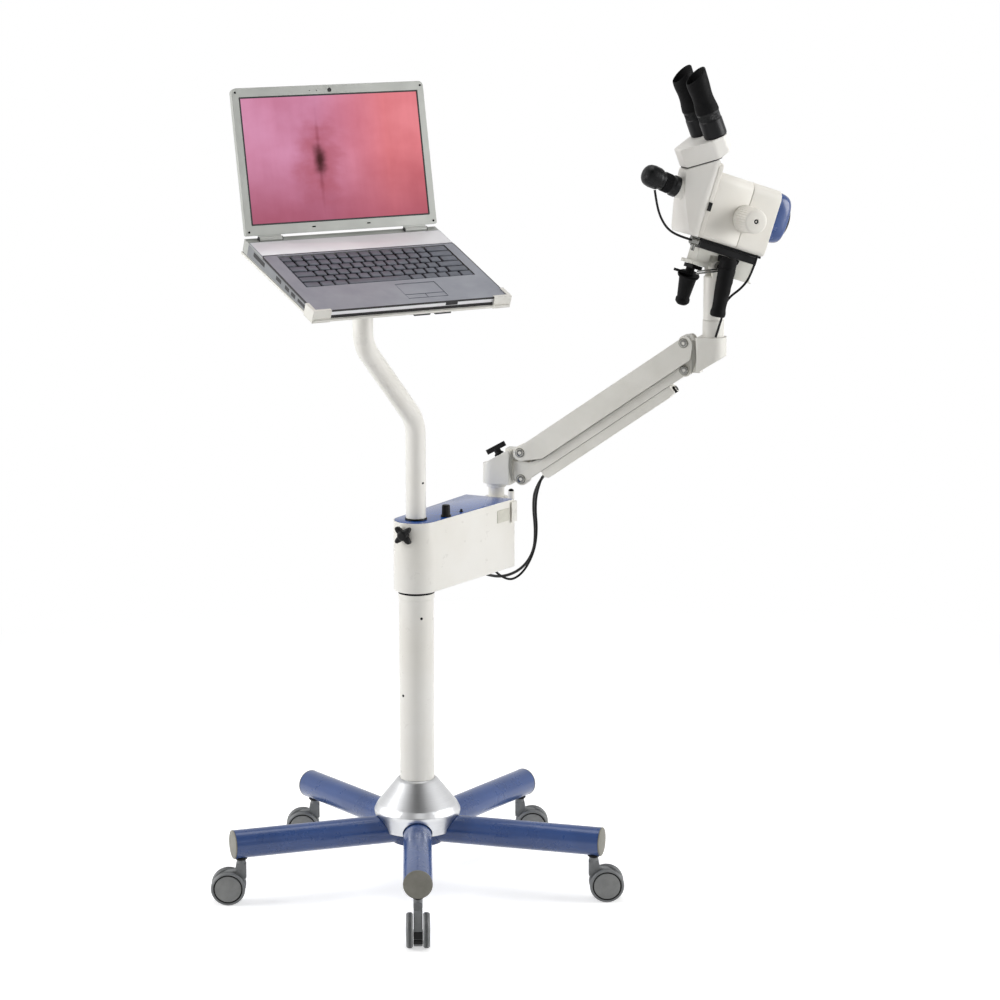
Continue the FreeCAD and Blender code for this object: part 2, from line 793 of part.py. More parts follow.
def make_tray():
    """Sheet tray that follows the laptop's underside, with slots near the front and a pivot lug."""
    half = laptop_width / 2
    front = -laptop_depth - 6
    back = laptop_back + 2
    drop = tray_thickness
    profile = [(front, bottom_line(front) - touch_gap), (back, bottom_line(back) - touch_gap),
               (back, bottom_line(back) - drop), (front, bottom_line(front) - drop)]
    points = [Vec(-half - 1, y, z) for y, z in profile]
    tray = slab(points, [0, 0, 1, 1], Vec(laptop_width + 2, 0, 0))
    for x0 in (0, 38):
        tray = tray.cut(box(x0, x0 + 30, front + 6, front + 12, -40, 0))
    for x0 in (-120, -60, 0, 60):
        tray = tray.cut(box(x0 + 10, x0 + 50, -60, -52, -40, 0))
    low = bottom_line(tray_pivot_y) - drop
    lug = box(-13.7, 13.7, tray_pivot_y - 11, tray_pivot_y + 11, -tray_pivot_drop, low + 1)
    eye = rod(9, Vec(-13.7, tray_pivot_y, -tray_pivot_drop), Vec(13.7, tray_pivot_y, -tray_pivot_drop))
    plate = box(-40, 40, tray_pivot_y - 24, tray_pivot_y + 24, low - 2.2, low + 1.2)
    tray = tray.fuse(lug).fuse(eye).fuse(plate)
    tray = tray.cut(rod(4 + pin_clearance, Vec(-20, tray_pivot_y, -tray_pivot_drop),
                        Vec(20, tray_pivot_y, -tray_pivot_drop)))
    return in_deck(tray.removeSplitter())


def make_tray_clips():
    """Folded corner clips that hold the laptop's front corners."""
    half = laptop_width / 2
    front = -laptop_depth
    clips = []
    for side in (-1, 1):
        low = bottom_line(front) - tray_thickness
        face = box(half - 29, half + 3.2, front - 3.2, front - 0.8, low - 0.4, 1.8)
        cheek = box(half + 0.8, half + 3.2, front - 3.2, front + 26, low - 0.4, 1.8)
        lip = box(half - 29, half + 3.2, front - 3.2, front + 3, 0.4, 1.8)
        side_lip = box(half - 3, half + 3.2, front - 3.2, front + 26, 0.4, 1.8)
        foot = box(half - 29, half + 3.2, front - 3.2, front + 26, low - 2, low - 0.4)
        clip = face.fuse([cheek, lip, side_lip, foot])
        if side < 0:
            clip = clip.mirror(origin, along_x)
        clips.append(in_deck(clip.removeSplitter()))
    return clips


def hinge_groove():
    half = laptop_width / 2
    left = rod(4.6, Vec(-156, 0, 0), Vec(-114, 0, 0))
    right = rod(4.6, Vec(114, 0, 0), Vec(156, 0, 0))
    return left.fuse(right)


def keys_pocket(margin, depth):
    return box(-keys_width / 2 + 3 - margin, keys_width / 2 + 3 + margin, keys_back_y - keys_depth - margin,
               keys_back_y + margin, -depth, 5)


def make_laptop_base():
    """Wedge-shaped lower case with the keyboard well and the port cut-outs on its left side."""
    half = laptop_width / 2
    profile = [(-laptop_depth, -deck_thickness), (laptop_back, -deck_thickness),
               (laptop_back, -laptop_back_thickness), (-laptop_depth, -laptop_front_thickness)]
    points = [Vec(-half, y, z) for y, z in profile]
    case = slab(points, [0.6, 0.6, 5, 3], Vec(laptop_width, 0, 0))
    case = case.cut(keys_pocket(1.0, 5.5)).cut(hinge_groove())
    for y0, wide, tall in ((-215, 26, 5), (-180, 14, 6), (-158, 14, 6), (-130, 18, 6), (-70, 40, 7)):
        case = case.cut(box(-half - 1, -half + 6, y0, y0 + wide, -6 - tall, -5.5))
    case = case.cut(box(60, 73, -laptop_depth - 1, -laptop_depth + 3, -7, 0))
    return in_deck(case)


def make_laptop_deck():
    """Palm-rest sheet with the keyboard window and a shallow touchpad recess."""
    half = laptop_width / 2
    points = [(-half + 0.6, -laptop_depth + 0.6), (half - 0.6, -laptop_depth + 0.6),
              (half - 0.6, -8), (-half + 0.6, -8)]
    deck = plan_slab(points, [6, 6, 2, 2], -deck_thickness + 0.02, 0)
    deck = deck.cut(keys_pocket(0.6, 5.5)).cut(hinge_groove())
    deck = deck.cut(box(touchpad_left, touchpad_left + touchpad_width, -228, -178, -0.5, 1))
    return in_deck(deck)


def make_laptop_keys():
    """Key caps on one membrane sheet; they travel together as a stand-in for each key's own travel."""
    left = -keys_width / 2 + 3
    front = keys_back_y - keys_depth
    keys = box(left, left + keys_width, front, keys_back_y, -3.6, -2.8)
    pitch_x = keys_width / key_columns
    pitch_y = keys_depth / key_rows
    caps = []
    for row in range(key_rows):
        columns = key_spans(row)
        for first, last in columns:
            x0 = left + first * pitch_x + key_gap / 2
            x1 = left + last * pitch_x - key_gap / 2
            y0 = front + row * pitch_y + key_gap / 2
            y1 = front + (row + 1) * pitch_y - key_gap / 2
            caps.append(box(x0, x1, y0, y1, -3.0, -0.2))
    keys = keys.fuse(caps)
    return in_deck(keys)


def key_spans(row):
    """Start and end of each key in a row, counted in key columns from the left."""
    if row == 0:
        return [(0, 1.4), (1.4, 2.6), (2.6, 3.8), (3.8, 9.4), (9.4, 10.6), (10.6, 11.8), (11.8, 12.8),
                (12.8, 13.9), (13.9, 15)]
    shift = [0, 2.2, 1.8, 1.5, 1.0, 0.0][row]
    spans = [(0, shift)] if shift else []
    column = shift
    while column + 2.2 <= key_columns:
        spans.append((column, column + 1))
        column += 1
    spans.append((column, key_columns))
    return spans


def make_laptop_lid():
    """Lid shell with its hinge barrels and the recess of the screen."""
    half = laptop_width / 2
    outline = [(-half, lid_foot_z), (half, lid_foot_z), (half, lid_height), (-half, lid_height)]
    lid = side_slab(outline, [3, 3, 9, 9], 0, lid_thickness)
    lid = lid.cut(box(-screen_width / 2, screen_width / 2, -1, 2, screen_margin,
                      screen_margin + screen_height))
    for x0, x1 in ((-155.5, -114.5), (114.5, 155.5)):
        barrel = rod(4.3, Vec(x0, 0, 0), Vec(x1, 0, 0))
        web = box(x0, x1, 0.5, hinge_web_back, 0.5, lid_foot_z + 3)
        lid = lid.fuse(barrel).fuse(web)
    return in_lid(lid.removeSplitter())


def make_screen_panel():
    """Flat display panel set into the lid."""
    half = screen_width / 2 - 0.1
    panel = box(-half, half, 0.6, 2 - 0.02, screen_margin + 0.1, screen_margin + screen_height - 0.1)
    return in_lid(panel)


# balanced arm, drawn in the arm plane

def beam_way():
    length = math.hypot(arm_run, arm_rise)
    return Vec(arm_run / length, 0, arm_rise / length), Vec(-arm_rise / length, 0, arm_run / length), length


def beam_frame(shape, pivot_z):
    """Shape drawn along +X from a lower pivot, laid on the beam's slope."""
    shape.rotate(origin, along_y, -math.degrees(math.atan2(arm_rise, arm_run)))
    shape.translate(Vec(lower_pivot_s, 0, pivot_z))
    return in_arm(shape)


def pivot_lug(s, z_high, z_low, reach_s, boss_half):
    """Central lug that joins two pivots to a block, with spacer bosses at the upper pivot."""
    post = side_slab([(s - lug_radius, z_low - lug_radius), (s + lug_radius, z_low - lug_radius),
                      (s + lug_radius, z_high + lug_radius), (s - lug_radius, z_high + lug_radius)],
                     lug_radius - 0.5, -lug_half, lug_half)
    web = box(min(s, reach_s), max(s, reach_s), -lug_half, lug_half, z_low - 4, z_high + 4)
    boss_radius = beam_top_t - beam_wall - touch_gap
    boss = rod(boss_radius, Vec(s, -boss_half, z_high), Vec(s, boss_half, z_high))
    return post.fuse(web).fuse(boss)


def pivot_pin(s, z, half, head_half):
    """Pin with a screw head on each side."""
    pin = rod(pivot_radius, Vec(s, -half, z), Vec(s, half, z))
    heads = [rod(6.5, Vec(s, side * half, z), Vec(s, side * head_half, z)) for side in (-1, 1)]
    return pin.fuse(heads)


def make_arm_base_block():
    """Casting that turns on the post and carries the two lower pivots of the parallelogram."""
    r = base_block_radius
    plan = plan_slab([(-r, -22), (base_block_front, -22), (base_block_front, 22), (-r, 22)],
                     [21, 4, 4, 21], base_block_bottom_z, base_block_top_high_z)
    side = side_slab([(-r - 1, base_block_bottom_z), (base_block_front, base_block_bottom_z),
                      (base_block_front, base_block_top_high_z),
                      (-r + 3, base_block_top_low_z), (-r - 1, base_block_top_low_z)],
                     [0, 0, 4, 3, 0], -30, 30)
    block = plan.common(side)
    beam_inner = arm_width / 2 - beam_wall - touch_gap
    block = block.fuse(pivot_lug(lower_pivot_s, upper_pivot_z, link_pivot_z, 20, beam_inner))
    block = block.fuse(pivot_pin(lower_pivot_s, upper_pivot_z, arm_width / 2 + 0.1, arm_width / 2 + 2))
    block = block.fuse(pivot_pin(lower_pivot_s, link_pivot_z, link_half_width + 0.1, link_half_width + 1.9))
    block = block.cut(rod(post_radius + pin_clearance, Vec(0, 0, base_block_bottom_z - 1),
                          Vec(0, 0, post_top_z + touch_gap)))
    seat, way = lock_seat()
    block = block.cut(rod(3 + pin_clearance, seat - way * 12, seat + way * 5))
    return in_arm(block.removeSplitter())


def lock_seat():
    """Foot and direction of the arm lock knob, square to the sloping top of the block."""
    slope = math.atan2(base_block_top_high_z - base_block_top_low_z,
                       base_block_front + base_block_radius - 3)
    s = 6.0
    z = base_block_top_low_z + (s + base_block_radius - 3) * math.tan(slope)
    return Vec(s, 0, z), Vec(-math.sin(slope), 0, math.cos(slope))


def make_arm_lock_knob():
    """T-shaped lock knob."""
    knob = turned([(0, touch_gap), (8.5, touch_gap), (8.5, 3), (6, 5), (6, 12), (0, 12)])
    bar = slab([Vec(-19, -5, 9), Vec(19, -5, 9), Vec(19, 5, 9), Vec(-19, 5, 9)], 4.8, Vec(0, 0, 9))
    knob = knob.fuse(bar).fuse(rod(3, Vec(0, 0, -11), Vec(0, 0, 1)))
    seat, way = lock_seat()
    return in_arm(aimed(knob, seat, way))


def beam_cover_outline(grow):
    length = beam_way()[2]
    top = beam_top_t + grow
    low = beam_bottom_t - grow * 2
    end = beam_end_radius + grow
    return [(-end, top), (length + end, top), (length + end, -10), (length - 6, low), (28, low), (-end, -10)]


def make_upper_beam():
    """Deep U-shaped beam: closed on top, open below so that the lower link can nest in it."""
    length = beam_way()[2]
    half = arm_width / 2
    radii = [9, 9, 12, 8, 8, 12]
    shell = side_slab(beam_cover_outline(0), radii, -half, half)
    inner = side_slab(beam_cover_outline(-beam_wall), [6, 6, 8, 5, 5, 8], -half + beam_wall,
                      half - beam_wall)
    well = side_slab([(22, -15), (length - 12, -15), (length - 12, -60), (22, -60)], 0,
                     -half + beam_wall, half - beam_wall)
    left_mouth = side_slab([(-40, 5.5), (16, 5.5), (30, -60), (-40, -60)], 0, -half + beam_wall,
                           half - beam_wall)
    right_mouth = side_slab([(length - 16, 5.5), (length + 40, 5.5), (length + 40, -60), (length - 20, -60)],
                            0,
                            -half + beam_wall, half - beam_wall)
    shell = shell.cut(inner).cut(well).cut(left_mouth).cut(right_mouth)
    lug_room = lug_half + touch_gap
    for u0, u1 in ((-40, lug_radius + 1.5), (length - lug_radius - 1.5, length + 40)):
        shell = shell.cut(box(u0, u1, -lug_room, lug_room, 0, 30))
    for u in (0, length):
        shell = shell.cut(rod(pivot_radius + pin_clearance, Vec(u, -half - 5, 0), Vec(u, half + 5, 0)))
    return beam_frame(shell.removeSplitter(), upper_pivot_z)


def make_lower_link():
    """Hollow lower link with a fork at each end."""
    length = beam_way()[2]
    h = link_half_height
    w = link_half_width
    bar = side_slab([(-h, h), (length + h, h), (length + h, -h), (-h, -h)], h - 0.4, -w, w)
    slot = w - link_cheek + touch_gap / 2
    for u0, u1 in ((-30, fork_slot), (length - fork_slot, length + 30)):
        bar = bar.cut(box(u0, u1, -slot, slot, -30, 30))
    bar = bar.cut(box(fork_slot + 6, length - fork_slot - 6, -w + 3, w - 3, -h + 3, h - 3))
    for u in (0, length):
        bar = bar.cut(rod(pivot_radius + pin_clearance, Vec(u, -w - 5, 0), Vec(u, w + 5, 0)))
    return beam_frame(bar, link_pivot_z)


def make_cable_channel():
    """Folded channel under the lower link; the arm cables leave it at its lower end."""
    w = channel_half_width
    top = -link_half_height - touch_gap
    outline = [(channel_start_u, top), (channel_end_u, top), (channel_end_u, -channel_drop + 3),
               (channel_end_u - 12, -channel_drop), (channel_start_u + 6, -channel_drop),
               (channel_start_u, -channel_drop + 5)]
    channel = side_slab(outline, [0, 0, 2, 3, 3, 2], -w, w)
    channel = channel.cut(box(channel_start_u - 5, channel_end_u - 3, -w + 2, w - 2, -channel_drop + 2,
                              top - 2))
    cap = rod(6, Vec(channel_end_u - 2, 0, -18), Vec(channel_end_u + 5, 0, -18))
    return beam_frame(channel.fuse(cap), link_pivot_z)


def make_end_block():
    """Casting at the arm's upper end with the collar that holds the head rod."""
    s_high = lower_pivot_s + arm_run
    s = head_rod_s
    r = end_block_radius
    plan = plan_slab([(s - 26, -22), (s + r, -22), (s + r, 22), (s - 26, 22)], [5, 21, 21, 5], 850,
                     end_block_top_z)
    side = side_slab([(s - 26, end_block_top_z), (s + r + 2, end_block_top_z),
                      (s + r + 2, end_block_bottom_z),
                      (s - 26, end_block_bottom_z - 32)], [3, 0, 6, 4], -30, 30)
    block = plan.common(side)
    beam_inner = arm_width / 2 - beam_wall - touch_gap
    high = upper_pivot_z + arm_rise
    low = link_pivot_z + arm_rise
    block = block.fuse(pivot_lug(s_high, high, low, s - 20, beam_inner))
    block = block.fuse(pivot_pin(s_high, high, arm_width / 2 + 0.1, arm_width / 2 + 2))
    block = block.fuse(pivot_pin(s_high, low, link_half_width + 0.1, link_half_width + 1.9))
    collar = turned([(0, end_block_top_z - 1), (end_collar_radius, end_block_top_z - 1),
                     (end_collar_radius, end_collar_top_z - 1), (end_collar_radius - 1, end_collar_top_z),
                     (0, end_collar_top_z)])
    collar.translate(Vec(s, 0, 0))
    block = block.fuse(collar)
    block = block.cut(rod(end_stub_radius + pin_clearance, Vec(s, 0, end_stub_bottom_z - touch_gap),
                          Vec(s, 0, 1000)))
    return in_arm(block.removeSplitter())


def make_head_rod():
    """Rod that turns in the end block and ends in the yoke of the tilt pin."""
    low = end_collar_top_z + touch_gap
    body = turned([(0, end_stub_bottom_z), (end_stub_radius, end_stub_bottom_z), (end_stub_radius, low),
                   (rod_radius, low), (rod_radius, rod_top_z - 2), (rod_radius - 2, rod_top_z),
                   (0, rod_top_z)])
    for side in (-1, 1):
        inner = side * yoke_inner_half
        outer = side * yoke_outer_half
        ear = side_slab([(-9, rod_top_z - 4), (9, rod_top_z - 4), (11, tilt_axis_z), (11, tilt_axis_z + 9),
                         (-11, tilt_axis_z + 9), (-11, tilt_axis_z)], [0, 0, 0, 8, 8, 0],
                        min(inner, outer), max(inner, outer))
        body = body.fuse(ear)
    body = body.cut(rod(tilt_pin_radius + pin_clearance, Vec(0, -30, tilt_axis_z), Vec(0, 30, tilt_axis_z)))
    body.rotate(origin, up, head_turn)
    point = rod_axis_point(0)
    body.translate(Vec(point.x, point.y, 0))
    return body


# head, drawn in the head frame

def tilt_axis_local():
    """Tilt axis in the head frame: the point of the rod axis at its height."""
    pitch = math.radians(head_pitch)
    fall = tilt_axis_z - head_z
    return -math.sin(pitch) * fall, math.cos(pitch) * fall


def make_tilt_lock():
    """Cross pin of the tilt joint with a two-rod lever on its near end."""
    x, z = tilt_axis_local()
    near = -yoke_outer_half - touch_gap
    pin = rod(tilt_pin_radius, Vec(x, near - 1, z), Vec(x, 19, z))
    lever_y = -saddle_foot_half - slide_gap - lever_rod_radius
    boss = rod(7.5, Vec(x, lever_y - lever_rod_radius - 0.9, z), Vec(x, near, z))
    lever = pin.fuse(boss)
    for drop in (-3.5, 0.5):
        lever = lever.fuse(rod(lever_rod_radius, Vec(x - 2, lever_y, z - 4.5 + drop),
                               Vec(x - 39, lever_y, z - 19 + drop)))
    return in_head(lever)


def make_focus_carriage():
    """Light-grey saddle: two cheeks, a foot plate and the tilt lug between them."""
    x, z = tilt_axis_local()
    top = slide_bottom_z - touch_gap
    plate = box(rail_start_x + 1, rail_end_x - 1, -19, 19, carriage_plate_z, top)
    left = side_slab([(rail_start_x + 1, top), (-5, top), (-5, -50), (rail_start_x + 1, -50)], 0, -19, 19)
    right = side_slab([(43, top), (rail_end_x - 3, top), (rail_end_x - 2, -58), (49, -58), (43, -50)],
                      [0, 0, 1.5, 3, 3], -19, 19)
    lip = box(49.5, rail_end_x + 1, -20, 20, -59.5, -57.5)
    foot = box(-35, -7, -saddle_foot_half, saddle_foot_half, -56, -50)
    lug = side_slab([(x - 11, carriage_plate_z + 1), (x + 11, carriage_plate_z + 1), (x + 11, z - 4),
                     (x + 5, z - lug_drop), (x - 5, z - lug_drop), (x - 11, z - 4)], [0, 0, 3, 3, 3, 3], -10,
                    10)
    carriage = plate.fuse([left, right, lip, foot, lug])
    carriage = carriage.cut(rod(tilt_pin_radius + pin_clearance, Vec(x, -30, z), Vec(x, 30, z)))
    return in_head(carriage.removeSplitter())


def dovetail(grow):
    """Section of the dovetail, widened by grow on its flanks."""
    return [(-12 - grow, rail_plate_low_z + 1), (12 + grow, rail_plate_low_z + 1),
            (16 + grow, rail_foot_z - grow), (-16 - grow, rail_foot_z - grow)]


def make_slide_base():
    """Black block with the dovetail groove, bolted on the saddle."""
    block = box(rail_start_x, rail_end_x, -20, 20, slide_bottom_z, rail_plate_low_z - slide_gap)
    return in_head(block.cut(section_slab(dovetail(slide_gap), 0, rail_start_x - 1, rail_end_x + 1)))


def make_slide_rail():
    """Dovetail rail under the housing, with the camera plug's seat at its front end."""
    plate = box(rail_start_x - 3, rail_end_x + 4, -22, 22, rail_plate_low_z, housing_bottom_z - 0.02)
    foot = section_slab(dovetail(0), 0, rail_start_x + 14, rail_end_x - 14)
    return in_head(plate.fuse(foot))


def make_camera_plug():
    """Metal cable connector under the front of the head, with its strain relief."""
    nut = rod(6.8, Vec(-47, -15, -18.5), Vec(-33.5, -15, -18.5))
    hanger = box(-46, -34, -21, -9, -13, -11.6)
    tail = rod(3.4, Vec(-39, -15, -35), Vec(-39, -15, -20))
    return in_head(nut.fuse(hanger).fuse(tail))


def grip_axis(length):
    lean = math.radians(grip_lean)
    return Vec(math.sin(lean), 0, -math.cos(lean)) * length


def make_handle_mount():
    """Dark pivot block on the saddle that carries the near grip and the far grip's arm."""
    top = Vec(grip_top_x, grip_side_y, grip_top_z + touch_gap)
    cap_top = top - grip_axis(19)
    head = turned([(0, 0), (grip_radius, 0), (grip_radius, 13), (grip_radius - 2.5, 17),
                   (grip_radius - 6, 19),
                   (0, 19)])
    head = aimed(head, top, grip_axis(-1))
    pin = rod(5, top + grip_axis(40), top)
    arm = side_slab([(8, -28), (38, -28), (36, -36), (24, -39), (10, -39)], 2, -44, -19 - touch_gap / 3)
    mount = head.fuse(pin).fuse(arm)
    return in_head(mount.removeSplitter())


def make_near_grip():
    """Tapered rubber grip with a bulb at its lower end; it twists on the mount's pin."""
    n = grip_length
    profile = [(0, 0), (grip_radius, 0), (grip_radius + 0.3, 6), (grip_radius - 1, 40),
               (grip_radius - 2.6, n - 16),
               (grip_radius - 2.2, n - 12), (grip_radius - 1.2, n - 8), (grip_radius - 1.2, n - 5),
               (grip_radius - 4, n), (0, n)]
    grip = aimed(turned(profile), Vec(grip_top_x, grip_side_y, grip_top_z), grip_axis(1))
    bore = rod(5 + pin_clearance, Vec(grip_top_x, grip_side_y, grip_top_z) - grip_axis(1),
               Vec(grip_top_x, grip_side_y, grip_top_z) + grip_axis(41))
    return in_head(grip.cut(bore))


def make_far_grip():
    """Shorter flanged grip hanging from an arm under the foot plate."""
    top = Vec(-6, 40, -73)
    axis = Vec(12, 18, -50).normalize()
    profile = [(0, 0), (18, 0), (19, 2), (18, 5), (15.5, 6), (14.5, 12), (11, 42), (10.8, 44), (12.2, 47),
               (12.2, 52), (9, 56), (0, 56)]
    grip = aimed(turned(profile), top, axis)
    thumb = plan_slab([(-34, 33), (-6, 30), (-6, 50), (-34, 47)], [6, 2, 2, 6], -75, -70.5)
    stem = rod(7.5, top + Vec(0, 0, -4), Vec(-6, 40, -54))
    arm = box(-16, 2, 12, 48, -63, -56.3)
    return in_head(grip.fuse([thumb, stem, arm]).removeSplitter())


def make_rear_housing():
    """Rear shell of the head: rounded box with a parting groove, side boss and objective opening."""
    h = head_half_width
    outline = [(-h, housing_bottom_z), (h, housing_bottom_z), (h, housing_top_z), (-h, housing_top_z)]
    shell = section_slab(outline, [8, 8, 17, 17], strip_back_x, rear_end_x)
    w = housing_wall
    inner = [(-h + w, housing_bottom_z + w), (h - w, housing_bottom_z + w), (h - w, housing_top_z - w),
             (-h + w, housing_top_z - w)]
    shell = shell.cut(section_slab(inner, [5, 5, 14, 14], strip_back_x + 3, rear_end_x - 4))
    groove = section_slab(outline, [8, 8, 17, 17], seam_x - 0.6, seam_x + 0.6)
    rim = [(-h + 0.9, housing_bottom_z + 0.9), (h - 0.9, housing_bottom_z + 0.9),
           (h - 0.9, housing_top_z - 0.9), (-h + 0.9, housing_top_z - 0.9)]
    groove = groove.cut(section_slab(rim, [7, 7, 16, 16], seam_x - 1, seam_x + 1))
    shell = shell.cut(groove)
    shell = shell.cut(rod(4.5 + pin_clearance, Vec(mag_knob_x, -h - 5, mag_knob_z),
                          Vec(mag_knob_x, -h + 8, mag_knob_z)))
    return in_head(shell.cut(rod(lens_radius + 1.5, Vec(rear_end_x - 10, 0, lens_centre_z),
                                 Vec(rear_end_x + 5, 0, lens_centre_z))))


def make_front_housing():
    """Front shell: sloping top, raked nose that narrows in plan, and the boss of the camera tube."""
    side = side_slab([(strip_front_x, -11.5), (strip_front_x, 118.5), (-53.3, 121.4), (-93, 88.7), (-80, 36),
                      (-64, -6), (-58, -11.5)], [0, 0, 2, 6, 40, 10, 4], -60, 60)
    h = head_half_width
    plan = plan_slab([(strip_front_x, -h), (-57, -h), (-92, -15), (-95, -7), (-95, 7), (-92, 15), (-57, h),
                      (strip_front_x, h)], [0, 12, 8, 5, 5, 8, 12, 0], -40, 140)
    shell = side.common(plan)
    cone = turned([(0, 0), (18, 0), (17.6, 10), (14.8, 25), (0, 25)])
    shell = shell.fuse(aimed(cone, Vec(-68, 0, nose_z - 1.5), camera_way()))
    hollow = side_slab([(strip_front_x - 3, -6), (strip_front_x - 3, 108), (-58, 110), (-80, 86), (-70, 36)],
                       [0, 0, 2, 3, 20], -34, 34)
    hollow_plan = plan_slab([(strip_front_x, -h + 4), (-56, -h + 4), (-84, -13), (-84, 13), (-56, h - 4),
                             (strip_front_x, h - 4)], 0, -40, 140)
    return in_head(shell.cut(hollow.common(hollow_plan)).removeSplitter())


def camera_way():
    tilt = math.radians(camera_tilt)
    return Vec(-math.cos(tilt), 0, math.sin(tilt))


def make_seam_strip():
    """Raised band between the two shells with the pocket of the rocker switch."""
    h = head_half_width + 1
    outline = [(-h, housing_bottom_z - 0.0), (h, housing_bottom_z - 0.0), (h, 117), (-h, 117)]
    strip = section_slab(outline, [8, 8, 10, 10], strip_front_x + 0.05, strip_back_x - 0.05)
    pocket = box(rocker_x - 3.6, rocker_x + 3.6, -h - 1, -h + 5, rocker_z - 7.6, rocker_z + 7.6)
    return in_head(strip.cut(pocket))


def make_rocker_switch():
    """Rocker with a shallow vee face on a cross pivot."""
    h = head_half_width + 1
    face = slab([Vec(rocker_x - 3.3, -h + 4, rocker_z - 7.3), Vec(rocker_x - 3.3, -h - 2.2, rocker_z - 7.3),
                 Vec(rocker_x - 3.3, -h - 1.0, rocker_z), Vec(rocker_x - 3.3, -h - 2.2, rocker_z + 7.3),
                 Vec(rocker_x - 3.3, -h + 4, rocker_z + 7.3)], 0, Vec(6.6, 0, 0))
    trim = rod(7.6, Vec(rocker_x - 5, -h + 1, rocker_z), Vec(rocker_x + 5, -h + 1, rocker_z))
    return in_head(face.common(trim))


def make_mag_knob():
    """Large ribbed magnification knob with a screw recess in its face."""
    n = mag_knob_length
    knob = turned([(0, 0), (mag_knob_base_radius, 0), (mag_knob_base_radius, 4),
                   (mag_knob_base_radius - 1, 5),
                   (mag_knob_face_radius + 0.8, 6), (mag_knob_face_radius, n - 4),
                   (mag_knob_face_radius - 1.6, n - 1),
                   (mag_knob_face_radius - 4, n), (3.6, n), (3.6, n - 3), (0, n - 3)])
    for i in range(mag_knob_ribs):
        angle = 2 * math.pi * i / mag_knob_ribs
        way = Vec(math.cos(angle), math.sin(angle), 0)
        knob = knob.cut(rod(1.3, way * (mag_knob_face_radius + 1.1) + Vec(0, 0, 7),
                            way * (mag_knob_face_radius + 0.5) + Vec(0, 0, n + 2)))
    knob = knob.fuse(rod(4.5, Vec(0, 0, -7), Vec(0, 0, 1)))
    base = Vec(mag_knob_x, -head_half_width - touch_gap, mag_knob_z)
    return in_head(aimed(knob, base, Vec(0, -1, 0)))


def rounded_square(x, half_y, z_low, z_high, radius):
    points = [Vec(x, -half_y, z_low), Vec(x, half_y, z_low), Vec(x, half_y, z_high), Vec(x, -half_y, z_high)]
    return corner_wire(points, [radius] * 4)


def make_objective_cap():
    """Blue cap that narrows from the housing's end to the round lens cell."""
    r = cap_front_radius
    base = rounded_square(rear_end_x + 0.05, 42, 15, 102, 16)
    waist = rounded_square(rear_end_x + 11, 41, 17, 99, 22)
    front = rounded_square(cap_front_x, r, lens_centre_z - r, lens_centre_z + r, r - 1)
    cap = Part.makeLoft([base, waist, front], True, True)
    return in_head(cap.cut(rod(lens_radius + 2, Vec(rear_end_x - 5, 0, lens_centre_z),
                               Vec(cap_front_x + 5, 0, lens_centre_z))))


def make_lens_cell():
    """Black ring that holds the objective lens."""
    r = lens_radius
    cell = turned([(r - 1.5, 0), (r + 2 - touch_gap / 2, 0),
                   (r + 2 - touch_gap / 2, cap_front_x - rear_end_x),
                   (r + 3.5, cap_front_x - rear_end_x + 0.3), (r + 3.5, cap_front_x - rear_end_x + 3),
                   (r + 1, cap_front_x - rear_end_x + 3), (r + 0.1, cap_front_x - rear_end_x - 2),
                   (r + 0.1, 20), (r - 1.5, 20)])
    return in_head(aimed(cell, Vec(rear_end_x + 0.3, 0, lens_centre_z), along_x))


def make_objective_lens():
    """Convex front lens."""
    r = lens_radius
    lens = Part.makeSphere(90, Vec(20.2 + 6.5 - 90, 0, 0), along_x)
    lens = lens.common(rod(r, Vec(20.2, 0, 0), Vec(30, 0, 0)))
    lens.translate(Vec(rear_end_x + 0.3, 0, lens_centre_z))
    return in_head(lens)


def on_block(shape):
    """Lays a shape drawn on the binocular block (x down the slope, z along the eyepieces)."""
    shape.rotate(origin, along_y, -block_slope)
    shape.translate(Vec(block_x, 0, block_z))
    return in_head(shape)


def make_binocular_block():
    """Wedge-shaped prism block, narrow in front and wide under the eyepieces, on a short neck."""
    t = block_thickness
    side = side_slab([(-62.5, 0), (19, 0), (19, -24), (-8, -t), (-62.5, -t)], [3, 5, 8, 6, 3], -60, 60)
    plan = plan_slab([(-62.5, -13), (-16, -47), (6, -47), (19, -36), (19, 36), (6, 47), (-16, 47),
                      (-62.5, 13)],
                     [4, 14, 8, 8, 8, 8, 14, 4], -60, 20)
    block = side.common(plan)
    neck = rod(17, Vec(-34, 0, -t - 2), Vec(-34, 0, -t + 1))
    block = block.fuse(neck)
    hollow = plan_slab([(-40, -8), (-12, -34), (8, -34), (8, 34), (-12, 34), (-40, 8)], 0, -t + 8, -5)
    return on_block(block.cut(hollow).removeSplitter())


